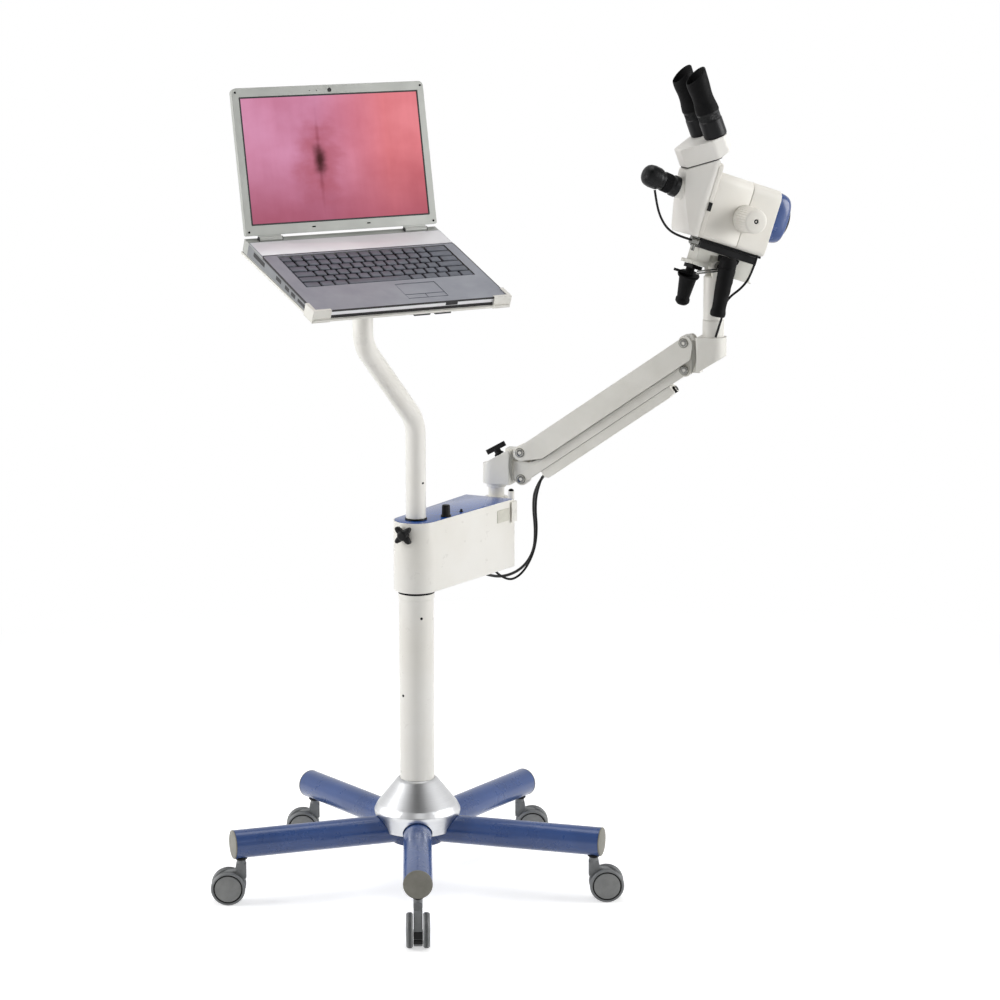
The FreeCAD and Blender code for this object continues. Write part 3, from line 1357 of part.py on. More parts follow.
def make_eyepiece(side):
    """Eyepiece tube with a knurled ring, a waist and a slanted winged eyecup."""
    n = eyepiece_length
    tube = turned([(0, touch_gap), (18.2, touch_gap), (eyepiece_radius, 2), (eyepiece_radius, 30),
                   (18.9, 31), (18.9, 42), (19.4, 43),
                   (19.2, 50), (16.6, 62), (16.4, 76), (17.6, 80), (18.4, 84), (18.2, n + 8), (15.2, n + 8),
                   (14.6, n - 12), (13, n - 14), (0, n - 14)])
    cutter = box(-60, 60, -60, 60, 0, 60)
    cutter.rotate(origin, along_y, -24)
    cutter.translate(Vec(0, 0, n - 3))
    tube = tube.cut(cutter)
    for i in range(18):
        angle = 2 * math.pi * i / 18
        way = Vec(math.cos(angle), math.sin(angle), 0)
        tube = tube.cut(rod(0.8, way * 19.3 + Vec(0, 0, 31), way * 19.3 + Vec(0, 0, 42)))
    tube.translate(Vec(0, side * pupil_half, 0))
    return on_block(tube)


def make_camera_body():
    """Coupler flange, ribbed barrel and the round camera head."""
    body = turned([(0, 0), (17.8, 0), (17.8, 9), (15.8, 10), (15.8, 14), (13.5, 14.2), (13.5, 27.8),
                   (15.8, 28),
                   (15.8, 33), (17.5, 34), (18.8, 38), (18.9, 50), (17.6, 57), (14.5, 62), (9.5, 65),
                   (0, 66)])
    start = Vec(-68, 0, nose_z - 1.5) + camera_way() * (25 + 0.02)
    return in_head(aimed(body, start, camera_way()))


def make_camera_ring():
    """Ribbed focus ring of the camera coupler."""
    ring = turned([(13.5 + pin_clearance, 14.4), (16.6, 14.4), (16.6, 27.6), (13.5 + pin_clearance, 27.6)])
    for i in range(20):
        angle = 2 * math.pi * i / 20
        way = Vec(math.cos(angle), math.sin(angle), 0)
        ring = ring.cut(rod(0.8, way * 16.9 + Vec(0, 0, 16), way * 16.9 + Vec(0, 0, 26)))
    start = Vec(-68, 0, nose_z - 1.5) + camera_way() * (25 + 0.02)
    return in_head(aimed(ring, start, camera_way()))


# cables

def head_point(x, y, z):
    vertex = in_head(Part.Vertex(x, y, z))
    return Vec(vertex.X, vertex.Y, vertex.Z)


def arm_point(s, n, z):
    vertex = in_arm(Part.Vertex(s, n, z))
    return Vec(vertex.X, vertex.Y, vertex.Z)


def camera_cable_route():
    return [head_point(x, y, z) for x, y, z in
            ((-131, -3, 42), (-123, -8, 22), (-112, -14, 2), (-94, -18, -14), (-70, -17, -19),
             (-47, -15, -18.5))]


def head_cable_route():
    return [head_point(70, -36, -10.6), head_point(70, -36, -36), head_point(62, -40, -66),
            head_point(38, -38, -96), arm_point(410, -24, 978), arm_point(396, -19.5, 936)]


def thick_cable_route():
    return [arm_point(86, 3, 676), arm_point(70, 3, 654), arm_point(66, 4, 620), arm_point(70, 6, 578),
            arm_point(68, 4, 540), arm_point(50, -4, 510), arm_point(22, -20, 496), arm_point(-4, -42, 502),
            arm_point(-18, -60, 514.3)]


def thin_cable_route():
    return [arm_point(86, -6, 676), arm_point(77, -7, 652), arm_point(74, -8, 620), arm_point(78, -9, 580),
            arm_point(73, -12, 540), arm_point(54, -22, 502), arm_point(30, -38, 492),
            arm_point(12, -52, 515.4)]


def make_parts():
    parts = {
        "leg_star": make_leg_star(), "leg_end_caps": make_leg_end_caps(), "hub_cover": make_hub_cover(),
        "column": make_column(), "box_shell": make_box_shell(), "box_top": make_box_top(),
        "post_bracket": make_post_bracket().fuse(make_arm_post()).removeSplitter(),
        "plate_trim": Part.Compound([make_pole_ring(), make_panel_screw()]),
        "label_plate": make_label_plate(),
        "dimmer_knob": make_dimmer_knob(), "clamp_knob": make_clamp_knob(),
        "pole": make_pole(), "tray_bracket": make_tray_bracket(),
        "tray": Part.Compound([make_tray()] + make_tray_clips()),
        "laptop_base": make_laptop_base(), "laptop_deck": make_laptop_deck(),
        "laptop_keys": make_laptop_keys(), "laptop_lid": make_laptop_lid(),
        "screen_panel": make_screen_panel(),
        "arm_base_block": make_arm_base_block(), "arm_lock_knob": make_arm_lock_knob(),
        "upper_beam": make_upper_beam(), "lower_link": make_lower_link(),
        "cable_channel": make_cable_channel(),
        "end_block": make_end_block(), "head_rod": make_head_rod(), "tilt_lock": make_tilt_lock(),
        "focus_carriage": make_focus_carriage(), "slide_base": make_slide_base(),
        "far_grip": Part.Compound([make_handle_mount(), make_far_grip()]), "near_grip": make_near_grip(),
        "slide_rail": make_slide_rail(), "camera_plug": make_camera_plug(),
        "rear_housing": make_rear_housing(), "front_housing": make_front_housing(),
        "seam_strip": make_seam_strip(), "rocker_switch": make_rocker_switch(), "mag_knob": make_mag_knob(),
        "objective_cap": make_objective_cap(), "lens_cell": make_lens_cell(),
        "objective_lens": make_objective_lens(), "binocular_block": make_binocular_block(),
        "near_eyepiece": make_eyepiece(-1), "far_eyepiece": make_eyepiece(1),
        "camera_body": make_camera_body(), "camera_ring": make_camera_ring(),
        "camera_cable": cord("camera_cable", camera_cable_route(), 2.0),
        "head_cable": cord("head_cable", head_cable_route(), 2.0),
        "thick_cable": cord("thick_cable", thick_cable_route(), 3.0),
        "thin_cable": cord("thin_cable", thin_cable_route(), 2.0),
    }
    for i, name in enumerate(caster_names):
        parts["caster_fork_" + name] = make_caster_fork(i)
        parts["caster_wheels_" + name] = make_caster_wheels(i)
    return {name: placed(shape) for name, shape in parts.items()}


def export_parts():
    os.makedirs("parts", exist_ok=True)
    total = FreeCAD.BoundBox()
    for name, shape in make_parts().items():
        shape.exportStep("parts/" + name + ".step")
        if not name.endswith("_cable"):
            total.add(shape.BoundBox)
        if not shape.isValid() or shape.Volume <= 0:
            print("check", name, shape.isValid(), shape.Volume)
    print("box", [round(v, 2) for v in (total.XMin, total.XMax, total.YMin, total.YMax, total.ZMin,
                                        total.ZMax)])
    print("box centre", round((total.XMin + total.XMax) / 2, 3), round((total.YMin + total.YMax) / 2, 3))


if __name__ == "__main__":
    export_parts()
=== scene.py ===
import math

import bmesh
import bpy
import numpy as np
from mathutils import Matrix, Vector


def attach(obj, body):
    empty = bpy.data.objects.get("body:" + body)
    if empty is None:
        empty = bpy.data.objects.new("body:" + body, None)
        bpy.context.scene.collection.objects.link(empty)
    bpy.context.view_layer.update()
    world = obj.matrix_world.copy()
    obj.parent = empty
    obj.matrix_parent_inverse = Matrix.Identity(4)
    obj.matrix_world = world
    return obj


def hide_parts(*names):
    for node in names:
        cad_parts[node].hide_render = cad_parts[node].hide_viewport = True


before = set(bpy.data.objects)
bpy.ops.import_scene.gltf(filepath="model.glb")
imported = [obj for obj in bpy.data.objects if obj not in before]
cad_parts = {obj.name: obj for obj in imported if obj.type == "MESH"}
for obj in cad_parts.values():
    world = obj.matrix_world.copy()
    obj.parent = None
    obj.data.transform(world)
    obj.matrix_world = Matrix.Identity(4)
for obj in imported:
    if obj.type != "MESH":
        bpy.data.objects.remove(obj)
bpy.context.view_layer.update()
print("frame loaded:", len(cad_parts), "nodes")


# places: each frame is a 3 x 3 turn and an origin, in millimetres

def turn(axis, degrees):
    c, s = math.cos(math.radians(degrees)), math.sin(math.radians(degrees))
    table = {"x": [[1, 0, 0], [0, c, -s], [0, s, c]],
             "y": [[c, 0, s], [0, 1, 0], [-s, 0, c]],
             "z": [[c, -s, 0], [s, c, 0], [0, 0, 1]]}
    return np.array(table[axis])


def within(outer, origin, spin):
    return outer[0] @ spin, outer[0] @ np.array(origin, float) + outer[1]


def atWorld(place, points):
    return np.asarray(points, float) @ place[0].T + place[1]


columnPlace = (np.eye(3), np.array([-142.92, 42.47, 0.0]))
postFoot = (140.5, 214.0, 0)
armPlace = within(columnPlace, postFoot, turn("z", -20))
rodFoot = atWorld(armPlace, (386.7, 0, 0))
headPlace = (turn("z", 19) @ turn("y", 18.3), rodFoot + np.array([0, 0, 1105.0]))
blockPlace = within(headPlace, (-64.5, 0, 156.5), turn("y", -39.5))
laptopTurn = turn("z", 29.9)
laptopFoot = np.array([-142.92 - 115.9, 42.47 - 44.1, 1124.0])
deckPlace = (laptopTurn @ turn("x", 21.15), laptopFoot)
lidPlace = (laptopTurn @ turn("x", -11.1), laptopFoot)
armRun, armRise = 290.6, 205.0
upperPivot, lowerPivot = 718.5, 671.0
armSlope = math.degrees(math.atan2(armRise, armRun))
linkPlace = within(armPlace, (50, 0, lowerPivot), turn("y", -armSlope))


# the frame whose third axis runs along way, with its foot at origin of the outer frame
def aimed(outer, origin, way):
    w = np.array(way, float) / np.linalg.norm(way)
    side = np.cross(w, (0, 1, 0) if abs(w[1]) < 0.9 else (1, 0, 0))
    side /= np.linalg.norm(side)
    return within(outer, origin, np.column_stack([side, np.cross(w, side), w]))


# materials

# sRGB hex to linear light, channel by channel
def hexColour(code, alpha=1.0):
    rgb = np.array([int(code[i:i + 2], 16) for i in (1, 3, 5)]) / 255
    linear = np.where(rgb <= 0.04045, rgb / 12.92, ((rgb + 0.055) / 1.055) ** 2.4)
    return (*[float(v) for v in linear], alpha)


# adds one shader node: values are attributes, sockets or ramp stops, links are what feeds its sockets
def addNode(tree, kind, values=None, links=None):
    node = tree.nodes.new("ShaderNode" + kind)
    for key, value in (values or {}).items():
        if key == "stops":
            ramp = node.color_ramp
            while len(ramp.elements) < len(value):
                ramp.elements.new(0.5)
            for element, (position, colour) in zip(ramp.elements, value):
                element.position, element.color = position, hexColour(colour)
        elif isinstance(key, str) and hasattr(node, key):
            setattr(node, key, value)
        else:
            node.inputs[key].default_value = value
    for key, source in (links or {}).items():
        tree.links.new(source, node.inputs[key])
    return node


def newMaterial(name):
    made = bpy.data.materials.new(name)
    made.use_nodes = True
    tree = made.node_tree
    tree.nodes.clear()
    output = addNode(tree, "OutputMaterial")
    coords = addNode(tree, "TexCoord")
    return made, tree, output, coords.outputs["Object"]


# Paint, lacquer or moulding: a broad drift between two near colours, a grain that moves the roughness and
# lifts the surface, and edges rounded in the shading. Sizes in millimetres.
def coatedMaterial(name, look):
    made, tree, output, position = newMaterial(name)
    drift = addNode(tree, "TexNoise", {"Scale": 1000 / look["driftSize"], "Detail": 3.0, "Roughness": 0.6},
                    {"Vector": position})
    colour = addNode(tree, "ValToRGB", {"stops": [(0.36, look["shade"]), (0.64, look["colour"])]},
                     {"Fac": drift.outputs["Fac"]})
    grain = addNode(tree, "TexNoise", {"Scale": 1000 / look["grainSize"],
                                       "Detail": look.get("grainDetail", 2.0),
                                       "Roughness": 0.5}, {"Vector": position})
    patches = addNode(tree, "TexNoise", {"Scale": 1000 / look["patchSize"], "Detail": 4.0, "Roughness": 0.7},
                      {"Vector": position})
    rough = addNode(tree, "MapRange", {"From Min": 0.3, "From Max": 0.7, "To Min": look["rough"][0],
                                       "To Max": look["rough"][1]}, {"Value": patches.outputs["Fac"]})
    soft = addNode(tree, "Bevel", {"samples": 6, "Radius": look["edge"] / 1000})
    bump = addNode(tree, "Bump", {"Strength": 1.0, "Distance": look["grainHeight"] / 1000},
                   {"Height": grain.outputs["Fac"], "Normal": soft.outputs["Normal"]})
    shader = addNode(tree, "BsdfPrincipled",
                     {"Metallic": look.get("metallic", 0.0), "IOR": look.get("ior", 1.5),
                      "Coat Weight": look.get("coat", 0.0), "Coat Roughness": look.get("coatRough", 0.08),
                      "Specular IOR Level": look.get("specular", 0.5)},
                     {"Base Color": colour.outputs["Color"], "Roughness": rough.outputs["Result"],
                      "Normal": bump.outputs["Normal"]})
    tree.links.new(shader.outputs["BSDF"], output.inputs["Surface"])
    return made


# Metal with fine marks along one way: the noise is stretched by marks = (x, y, z) lines per metre about
# a centre
def markedMetal(name, look):
    made, tree, output, position = newMaterial(name)
    placed = addNode(tree, "Mapping", {"Location": [-v for v in look["centre"]]}, {"Vector": position})
    stretched = addNode(tree, "Mapping", {"Scale": look["marks"]}, {"Vector": placed.outputs["Vector"]})
    lines = addNode(tree, "TexNoise", {"Scale": 1.0, "Detail": 3.0, "Roughness": 0.65},
                    {"Vector": stretched.outputs["Vector"]})
    patches = addNode(tree, "TexNoise", {"Scale": 1000 / look["patchSize"], "Detail": 3.0},
                      {"Vector": position})
    colour = addNode(tree, "ValToRGB", {"stops": [(0.3, look["shade"]), (0.7, look["colour"])]},
                     {"Fac": lines.outputs["Fac"]})
    both = addNode(tree, "Math", {"operation": "ADD"}, {0: lines.outputs["Fac"], 1: patches.outputs["Fac"]})
    rough = addNode(tree, "MapRange", {"From Min": 0.6, "From Max": 1.4, "To Min": look["rough"][0],
                                       "To Max": look["rough"][1]}, {"Value": both.outputs["Value"]})
    soft = addNode(tree, "Bevel", {"samples": 6, "Radius": look["edge"] / 1000})
    bump = addNode(tree, "Bump", {"Strength": 1.0, "Distance": look["markHeight"] / 1000},
                   {"Height": lines.outputs["Fac"], "Normal": soft.outputs["Normal"]})
    shader = addNode(tree, "BsdfPrincipled", {"Metallic": 1.0, "Anisotropic": look.get("anisotropic", 0.0)},
                     {"Base Color": colour.outputs["Color"], "Roughness": rough.outputs["Result"],
                      "Normal": bump.outputs["Normal"]})
    tree.links.new(shader.outputs["BSDF"], output.inputs["Surface"])
    return made


# polyester powder coat on steel tube: faint orange peel, satin gloss
powderIvory = coatedMaterial("powderCoatIvory", {
    "colour": "#EDEBE5", "shade": "#E7E4DC", "driftSize": 160, "grainSize": 2.2, "grainHeight": 0.02,
    "patchSize": 30, "rough": (0.26, 0.36), "edge": 0.8, "coat": 0.25})
# gloss powder coat over the leg tubes: deeper orange peel and a clear top layer
powderBlue = coatedMaterial("powderCoatBlue", {
    "colour": "#35528C", "shade": "#2E497F", "driftSize": 120, "grainSize": 3.0, "grainHeight": 0.04,
    "patchSize": 40, "rough": (0.24, 0.34), "edge": 0.8, "coat": 0.3, "coatRough": 0.12})
# back-lacquered sheet on the light box: almost a mirror at a low angle
lacquerBlue = coatedMaterial("highGlossBlueLacquer", {
    "colour": "#2A58A4", "shade": "#244E96", "driftSize": 90, "grainSize": 12, "grainHeight": 0.01,
    "patchSize": 60, "rough": (0.05, 0.1), "edge": 0.6, "specular": 0.32})
# injection moulded ABS of the head shells: spark-eroded grain, drawn at 1.4 mm so that it shows
mouldedIvory = coatedMaterial("mouldedAbsIvory", {
    "colour": "#EBE8E0", "shade": "#E5E1D8", "driftSize": 110, "grainSize": 1.4, "grainHeight": 0.03,
    "grainDetail": 4.0, "patchSize": 22, "rough": (0.38, 0.48), "edge": 1.4})
# lacquer on aluminium castings of the arm
castIvory = coatedMaterial("lacqueredCastingIvory", {
    "colour": "#E6E4DD", "shade": "#DFDDD5", "driftSize": 70, "grainSize": 1.8, "grainHeight": 0.05,
    "patchSize": 18, "rough": (0.34, 0.46), "edge": 1.2})
# the same ABS on the front housing and the eyepiece block, less yellowed
mouldedPale = coatedMaterial("mouldedAbsPale", {
    "colour": "#F8F6F0", "shade": "#F2EFE8", "driftSize": 110, "grainSize": 1.4, "grainHeight": 0.03,
    "grainDetail": 4.0, "patchSize": 22, "rough": (0.38, 0.48), "edge": 1.4})
# PC/ABS cap moulding in gloss blue
mouldedBlue = coatedMaterial("mouldedAbsBlue", {
    "colour": "#304E89", "shade": "#29447D", "driftSize": 60, "grainSize": 2.0, "grainHeight": 0.01,
    "patchSize": 20, "rough": (0.2, 0.3), "edge": 1.2, "coat": 0.3})
# glass-filled nylon of leg caps and casters, matt with pale wear
nylonCap = coatedMaterial("mouldedNylonWarmGrey", {
    "colour": "#87857C", "shade": "#7B7970", "driftSize": 20, "grainSize": 1.2, "grainHeight": 0.04,
    "patchSize": 9, "rough": (0.5, 0.62), "edge": 0.8})
nylonGrey = coatedMaterial("mouldedNylonGrey", {
    "colour": "#7E8081", "shade": "#727475", "driftSize": 18, "grainSize": 1.1, "grainHeight": 0.03,
    "patchSize": 8, "rough": (0.42, 0.55), "edge": 0.8})
nylonDisc = coatedMaterial("mouldedNylonDiscGrey", {
    "colour": "#8C8D8C", "shade": "#818281", "driftSize": 14, "grainSize": 1.0, "grainHeight": 0.02,
    "patchSize": 6, "rough": (0.4, 0.5), "edge": 0.6})
treadGrey = coatedMaterial("polyurethaneTread", {
    "colour": "#6A6C6E", "shade": "#5E6062", "driftSize": 12, "grainSize": 1.3, "grainHeight": 0.05,
    "patchSize": 6, "rough": (0.55, 0.7), "edge": 0.5})
# black glass-filled nylon of knobs and switches: satin, with faint grain
blackNylon = coatedMaterial("mouldedNylonBlack", {
    "colour": "#111112", "shade": "#0B0B0C", "driftSize": 15, "grainSize": 1.0, "grainHeight": 0.03,
    "patchSize": 6, "rough": (0.35, 0.5), "edge": 0.5, "specular": 0.2})
# vulcanised rubber of grips and eyecups, slightly dusty
rubberBlack = coatedMaterial("vulcanisedRubberBlack", {
    "colour": "#111112", "shade": "#0B0B0C", "driftSize": 18, "grainSize": 0.9, "grainHeight": 0.05,
    "grainDetail": 4.0, "patchSize": 10, "rough": (0.5, 0.68), "edge": 0.8, "specular": 0.1})
# black anodised aluminium of rails, rings and tubes
anodisedBlack = coatedMaterial("anodisedAluminiumBlack", {
    "colour": "#101113", "shade": "#0B0C0D", "driftSize": 25, "grainSize": 0.8, "grainHeight": 0.015,
    "patchSize": 8, "rough": (0.3, 0.42), "edge": 0.5, "metallic": 0.1, "specular": 0.25})
saddleGrey = coatedMaterial("lacqueredCastingGrey", {
    "colour": "#E0DFD7", "shade": "#D5D4CB", "driftSize": 40, "grainSize": 1.5, "grainHeight": 0.04,
    "patchSize": 12, "rough": (0.4, 0.52), "edge": 0.8})
# painted shade on the inner wall of the arm's end castings and about the pivot screws: the casting lacquer
# made darker
paintedShadeGrey = coatedMaterial("lacqueredCastingPaintedShade", {
    "colour": "#8F8E86", "shade": "#84837B", "driftSize": 30, "grainSize": 1.6, "grainHeight": 0.03,
    "patchSize": 12, "rough": (0.5, 0.6), "edge": 0.3})
plateGrey = coatedMaterial("blankEngravingSheet", {
    "colour": "#D2D0C4", "shade": "#C8C6BA", "driftSize": 12, "grainSize": 0.8, "grainHeight": 0.01,
    "patchSize": 5, "rough": (0.3, 0.4), "edge": 0.3})
# metallic lacquers of the laptop: fine flake in a satin film on its lid, side wall, strip and palm rest; the
# side wall's copy is the silver made darker, painted shade on that side
silverLacquer = coatedMaterial("metallicLacquerSilver", {
    "colour": "#B5B7B2", "shade": "#A9ABA6", "driftSize": 90, "grainSize": 0.7, "grainHeight": 0.006,
    "patchSize": 25, "rough": (0.3, 0.4), "edge": 0.8, "metallic": 0.25})
paintedShadeLacquer = coatedMaterial("metallicLacquerPaintedShade", {
    "colour": "#85878A", "shade": "#797B7E", "driftSize": 60, "grainSize": 0.7, "grainHeight": 0.006,
    "patchSize": 25, "rough": (0.3, 0.4), "edge": 0.8, "metallic": 0.25})
stripSilver = coatedMaterial("metallicLacquerPale", {
    "colour": "#E9E9EB", "shade": "#E0E0E3", "driftSize": 90, "grainSize": 0.7, "grainHeight": 0.006,
    "patchSize": 25, "rough": (0.28, 0.36), "edge": 0.4, "metallic": 0.1})
palmRest = coatedMaterial("metallicLacquerSlate", {
    "colour": "#9699A1", "shade": "#8A8D96", "driftSize": 70, "grainSize": 0.7, "grainHeight": 0.006,
    "patchSize": 25, "rough": (0.4, 0.5), "edge": 0.4, "metallic": 0.12})
keyGrey = coatedMaterial("mouldedAbsKeyGrey", {
    "colour": "#5E636E", "shade": "#525761", "driftSize": 30, "grainSize": 0.7, "grainHeight": 0.01,
    "patchSize": 12, "rough": (0.38, 0.5), "edge": 0.4})
keyWell = coatedMaterial("mouldedAbsWellBlack", {
    "colour": "#141416", "shade": "#0F0F11", "driftSize": 30, "grainSize": 1.0, "grainHeight": 0.01,
    "patchSize": 12, "rough": (0.5, 0.6), "edge": 0.3})
# extruded PVC jacket
jacketBlack = coatedMaterial("pvcJacketBlack", {
    "colour": "#141415", "shade": "#0F0F10", "driftSize": 30, "grainSize": 1.5, "grainHeight": 0.02,
    "patchSize": 10, "rough": (0.35, 0.48), "edge": 0.2, "specular": 0.2})
jacketGrey = coatedMaterial("pvcJacketGrey", {
    "colour": "#1B1B1C", "shade": "#151516", "driftSize": 30, "grainSize": 1.5, "grainHeight": 0.02,
    "patchSize": 10, "rough": (0.35, 0.48), "edge": 0.2})
# spun and brushed aluminium: rings about the column, 0.5 mm apart so that they show
spunAluminium = markedMetal("spunBrushedAluminium", {
    "colour": "#E3E4E5", "shade": "#D8D9DB", "centre": (-0.14292, 0.04247, 0), "marks": (12, 12, 2000),
    "patchSize": 40, "rough": (0.27, 0.33), "edge": 0.6, "markHeight": 0.004, "anisotropic": 0.5})
# nickel plated steel screws and pins
nickelSteel = markedMetal("nickelPlatedSteel", {
    "colour": "#8E8E8B", "shade": "#777774", "centre": (0, 0, 0), "marks": (300, 300, 900),
    "patchSize": 15, "rough": (0.2, 0.34), "edge": 0.4, "markHeight": 0.008})


# Backlit panel showing a soft view without any drawing: rosy field, lighter to one side, with darker
# hollows about one middle, each (tone, scale across, scale up, amount)
def displayMaterial(look):
    made, tree, output, _ = newMaterial("backlitDisplay")
    uv = addNode(tree, "UVMap", {"uv_map": "panel"}).outputs["UV"]
    parts = addNode(tree, "SeparateXYZ", {}, {0: uv})
    across = addNode(tree, "ValToRGB", {"stops": [(0.0, look["cool"]), (0.42, look["cool"]),
                                                  (0.8, look["warm"])]},
                     {"Fac": parts.outputs["X"]})
    height = addNode(tree, "MapRange", {"From Min": 0.0, "From Max": 0.55, "To Min": 0.75, "To Max": 0.0},
                     {"Value": parts.outputs["Y"]})
    based = addNode(tree, "Mix", {"data_type": "RGBA", 7: hexColour(look["low"])},
                    {0: height.outputs["Result"], 6: across.outputs["Color"]})
    cloud = addNode(tree, "TexNoise", {"Scale": 2.0, "Detail": 4.0, "Roughness": 0.5}, {"Vector": uv})
    cloudShade = addNode(tree, "ValToRGB", {"stops": [(0.35, look["cloud"]), (0.6, "#FFFFFF")]},
                         {"Fac": cloud.outputs["Fac"]})
    field = addNode(tree, "Mix", {"data_type": "RGBA", "blend_type": "MULTIPLY", 0: 0.35},
                    {6: based.outputs[2], 7: cloudShade.outputs["Color"]})
    folds = addNode(tree, "Mapping", {"Scale": (7.0, 0.9, 1.0)}, {"Vector": uv})
    streak = addNode(tree, "TexNoise", {"Scale": 1.0, "Detail": 5.0, "Roughness": 0.6},
                     {"Vector": folds.outputs["Vector"]})
    streakShade = addNode(tree, "ValToRGB", {"stops": [(0.3, "#B4747F"), (0.7, "#FFFFFF")]},
                          {"Fac": streak.outputs["Fac"]})
    veined = addNode(tree, "Mix", {"data_type": "RGBA", "blend_type": "MULTIPLY", 0: 0.2},
                     {6: field.outputs[2], 7: streakShade.outputs["Color"]})
    picture = veined.outputs[2]
    for tone, wide, tall, amount in look["hollows"]:
        at = addNode(tree, "Mapping", {"Location": (-look["middle"][0] * wide, -look["middle"][1] * tall, 0),
                                       "Scale": (wide, tall, 1.0)}, {"Vector": uv})
        uneven = addNode(tree, "TexNoise", {"Scale": 9.0, "Detail": 3.0}, {"Vector": uv})
        reach = addNode(tree, "VectorMath", {"operation": "LENGTH"}, {0: at.outputs["Vector"]})
        wavy = addNode(tree, "Math", {"operation": "MULTIPLY_ADD", 1: 0.9},
                       {0: uneven.outputs["Fac"], 2: reach.outputs["Value"]})
        mask = addNode(tree, "MapRange", {"interpolation_type": "SMOOTHERSTEP", "From Min": 0.5,
                                          "From Max": 1.55, "To Min": amount, "To Max": 0.0},
                       {"Value": wavy.outputs["Value"]})
        mixed = addNode(tree, "Mix", {"data_type": "RGBA", 7: hexColour(tone)},
                        {0: mask.outputs["Result"], 6: picture})
        picture = mixed.outputs[2]
    shader = addNode(tree, "BsdfPrincipled", {"Base Color": hexColour("#060607"), "Roughness": 0.42,
                                              "Specular IOR Level": 0.12,
                                              "Emission Strength": look["strength"]},
                     {"Emission Color": picture})
    tree.links.new(shader.outputs["BSDF"], output.inputs["Surface"])
    return made


display = displayMaterial({"cool": "#D893B4", "warm": "#E8868E", "low": "#A34A60", "cloud": "#C9747F",
                           "middle": (0.41, 0.48), "strength": 1.0,
                           "hollows": [("#A84C5A", 5.5, 2.2, 0.7), ("#8C3A4C", 60.0, 2.0, 0.5),
                                       ("#3C0409", 19.0, 5.4, 0.98)]})


# coated crown glass: clear, with a faint violet-green film on its front
def coatedGlass():
    made, tree, output, _ = newMaterial("coatedCrownGlass")
    film = addNode(tree, "LayerWeight", {"Blend": 0.4})
    tint = addNode(tree, "ValToRGB", {"stops": [(0.0, "#E8F0F4"), (0.6, "#CFE6DC"), (1.0, "#D9CBEA")]},
                   {"Fac": film.outputs["Facing"]})
    shader = addNode(tree, "BsdfPrincipled", {"Roughness": 0.02, "IOR": 1.52, "Transmission Weight": 1.0},
                     {"Base Color": tint.outputs["Color"]})
    tree.links.new(shader.outputs["BSDF"], output.inputs["Surface"])
    return made


lensGlass = coatedGlass()
print("materials made")


# surfaces, worked out in millimetres as whole arrays

# A (radius, height) profile carried round the third axis: x = r cos a, y = r sin a, z = h.
# ripple(angle, height) scales the radius.
def turned(profile, steps=72, ripple=None):
    radius, height = np.array(profile, float).T
    angle = np.linspace(0, 2 * math.pi, steps, endpoint=False)[None, :]
    scale = np.ones((len(radius), steps)) if ripple is None else ripple(angle, height[:, None])
    r = radius[:, None] * scale
    return np.stack([r * np.cos(angle), r * np.sin(angle), np.broadcast_to(height[:, None], r.shape)], -1)


# Each corner of a line becomes the arc that touches both its runs; points between centre + va and
# centre + vb follow sin((1 - t) a) va + sin(t a) vb, over sin a.
def rounded(points, radii, steps=5, closed=False):
    line = np.array(points, float)
    count = len(line)
    radii = np.broadcast_to(np.array(radii, float), count)
    parts = []
    for i in range(count):
        if radii[i] <= 0 or (not closed and i in (0, count - 1)):
            parts.append(line[i:i + 1])
            continue
        before, after = line[i - 1] - line[i], line[(i + 1) % count] - line[i]
        longest = min(np.linalg.norm(before), np.linalg.norm(after))
        before, after = before / np.linalg.norm(before), after / np.linalg.norm(after)
        half = math.acos(np.clip(before @ after, -1, 1)) / 2
        if half > 1.56:
            parts.append(line[i:i + 1])
            continue
        radius = min(radii[i], 0.49 * longest * math.tan(half))
        middle = (before + after) / np.linalg.norm(before + after)
        centre = line[i] + middle * radius / math.sin(half)
        va = line[i] + before * radius / math.tan(half) - centre
        vb = line[i] + after * radius / math.tan(half) - centre
        spread = math.pi - 2 * half
        t = np.linspace(0, 1, steps + 1)[:, None]
        parts.append(centre + (np.sin((1 - t) * spread) * va + np.sin(t * spread) * vb) / math.sin(spread))
    return np.concatenate(parts)


# A closed plan outline repeated at each (height, inset): every point moves inward along the mitre of its
# two sides
def slab(outline, levels):
    line = np.array(outline, float)
    ahead, behind = np.roll(line, -1, 0) - line, line - np.roll(line, 1, 0)
    area = np.sum(line[:, 0] * np.roll(line[:, 1], -1) - np.roll(line[:, 0], -1) * line[:, 1])
    sides = [np.stack([-d[:, 1], d[:, 0]], 1) / np.maximum(np.linalg.norm(d, axis=1), 1e-9)[:, None]
             for d in (ahead, behind)]
    inward = (sides[0] + sides[1]) / np.maximum(1 + np.sum(sides[0] * sides[1], 1), 0.3)[:, None]
    inward *= 1 if area > 0 else -1
    height, inset = np.array(levels, float).T
    plan = line[None] + inward[None] * inset[:, None, None]
    return np.concatenate([plan, np.broadcast_to(height[:, None, None], plan.shape[:2] + (1,))], -1)


# (height, inset) pairs of a slab whose lower and upper edges are rounded by quarter circles
def softEdges(low, high, lowRadius, highRadius, steps=4):
    t = np.linspace(0, math.pi / 2, steps + 1)
    lower = np.stack([low + lowRadius * (1 - np.cos(t)), lowRadius * (1 - np.sin(t))], 1)
    upper = np.stack([high - highRadius * (1 - np.sin(t)), highRadius * (1 - np.cos(t))], 1)
    return np.concatenate([lower, upper])


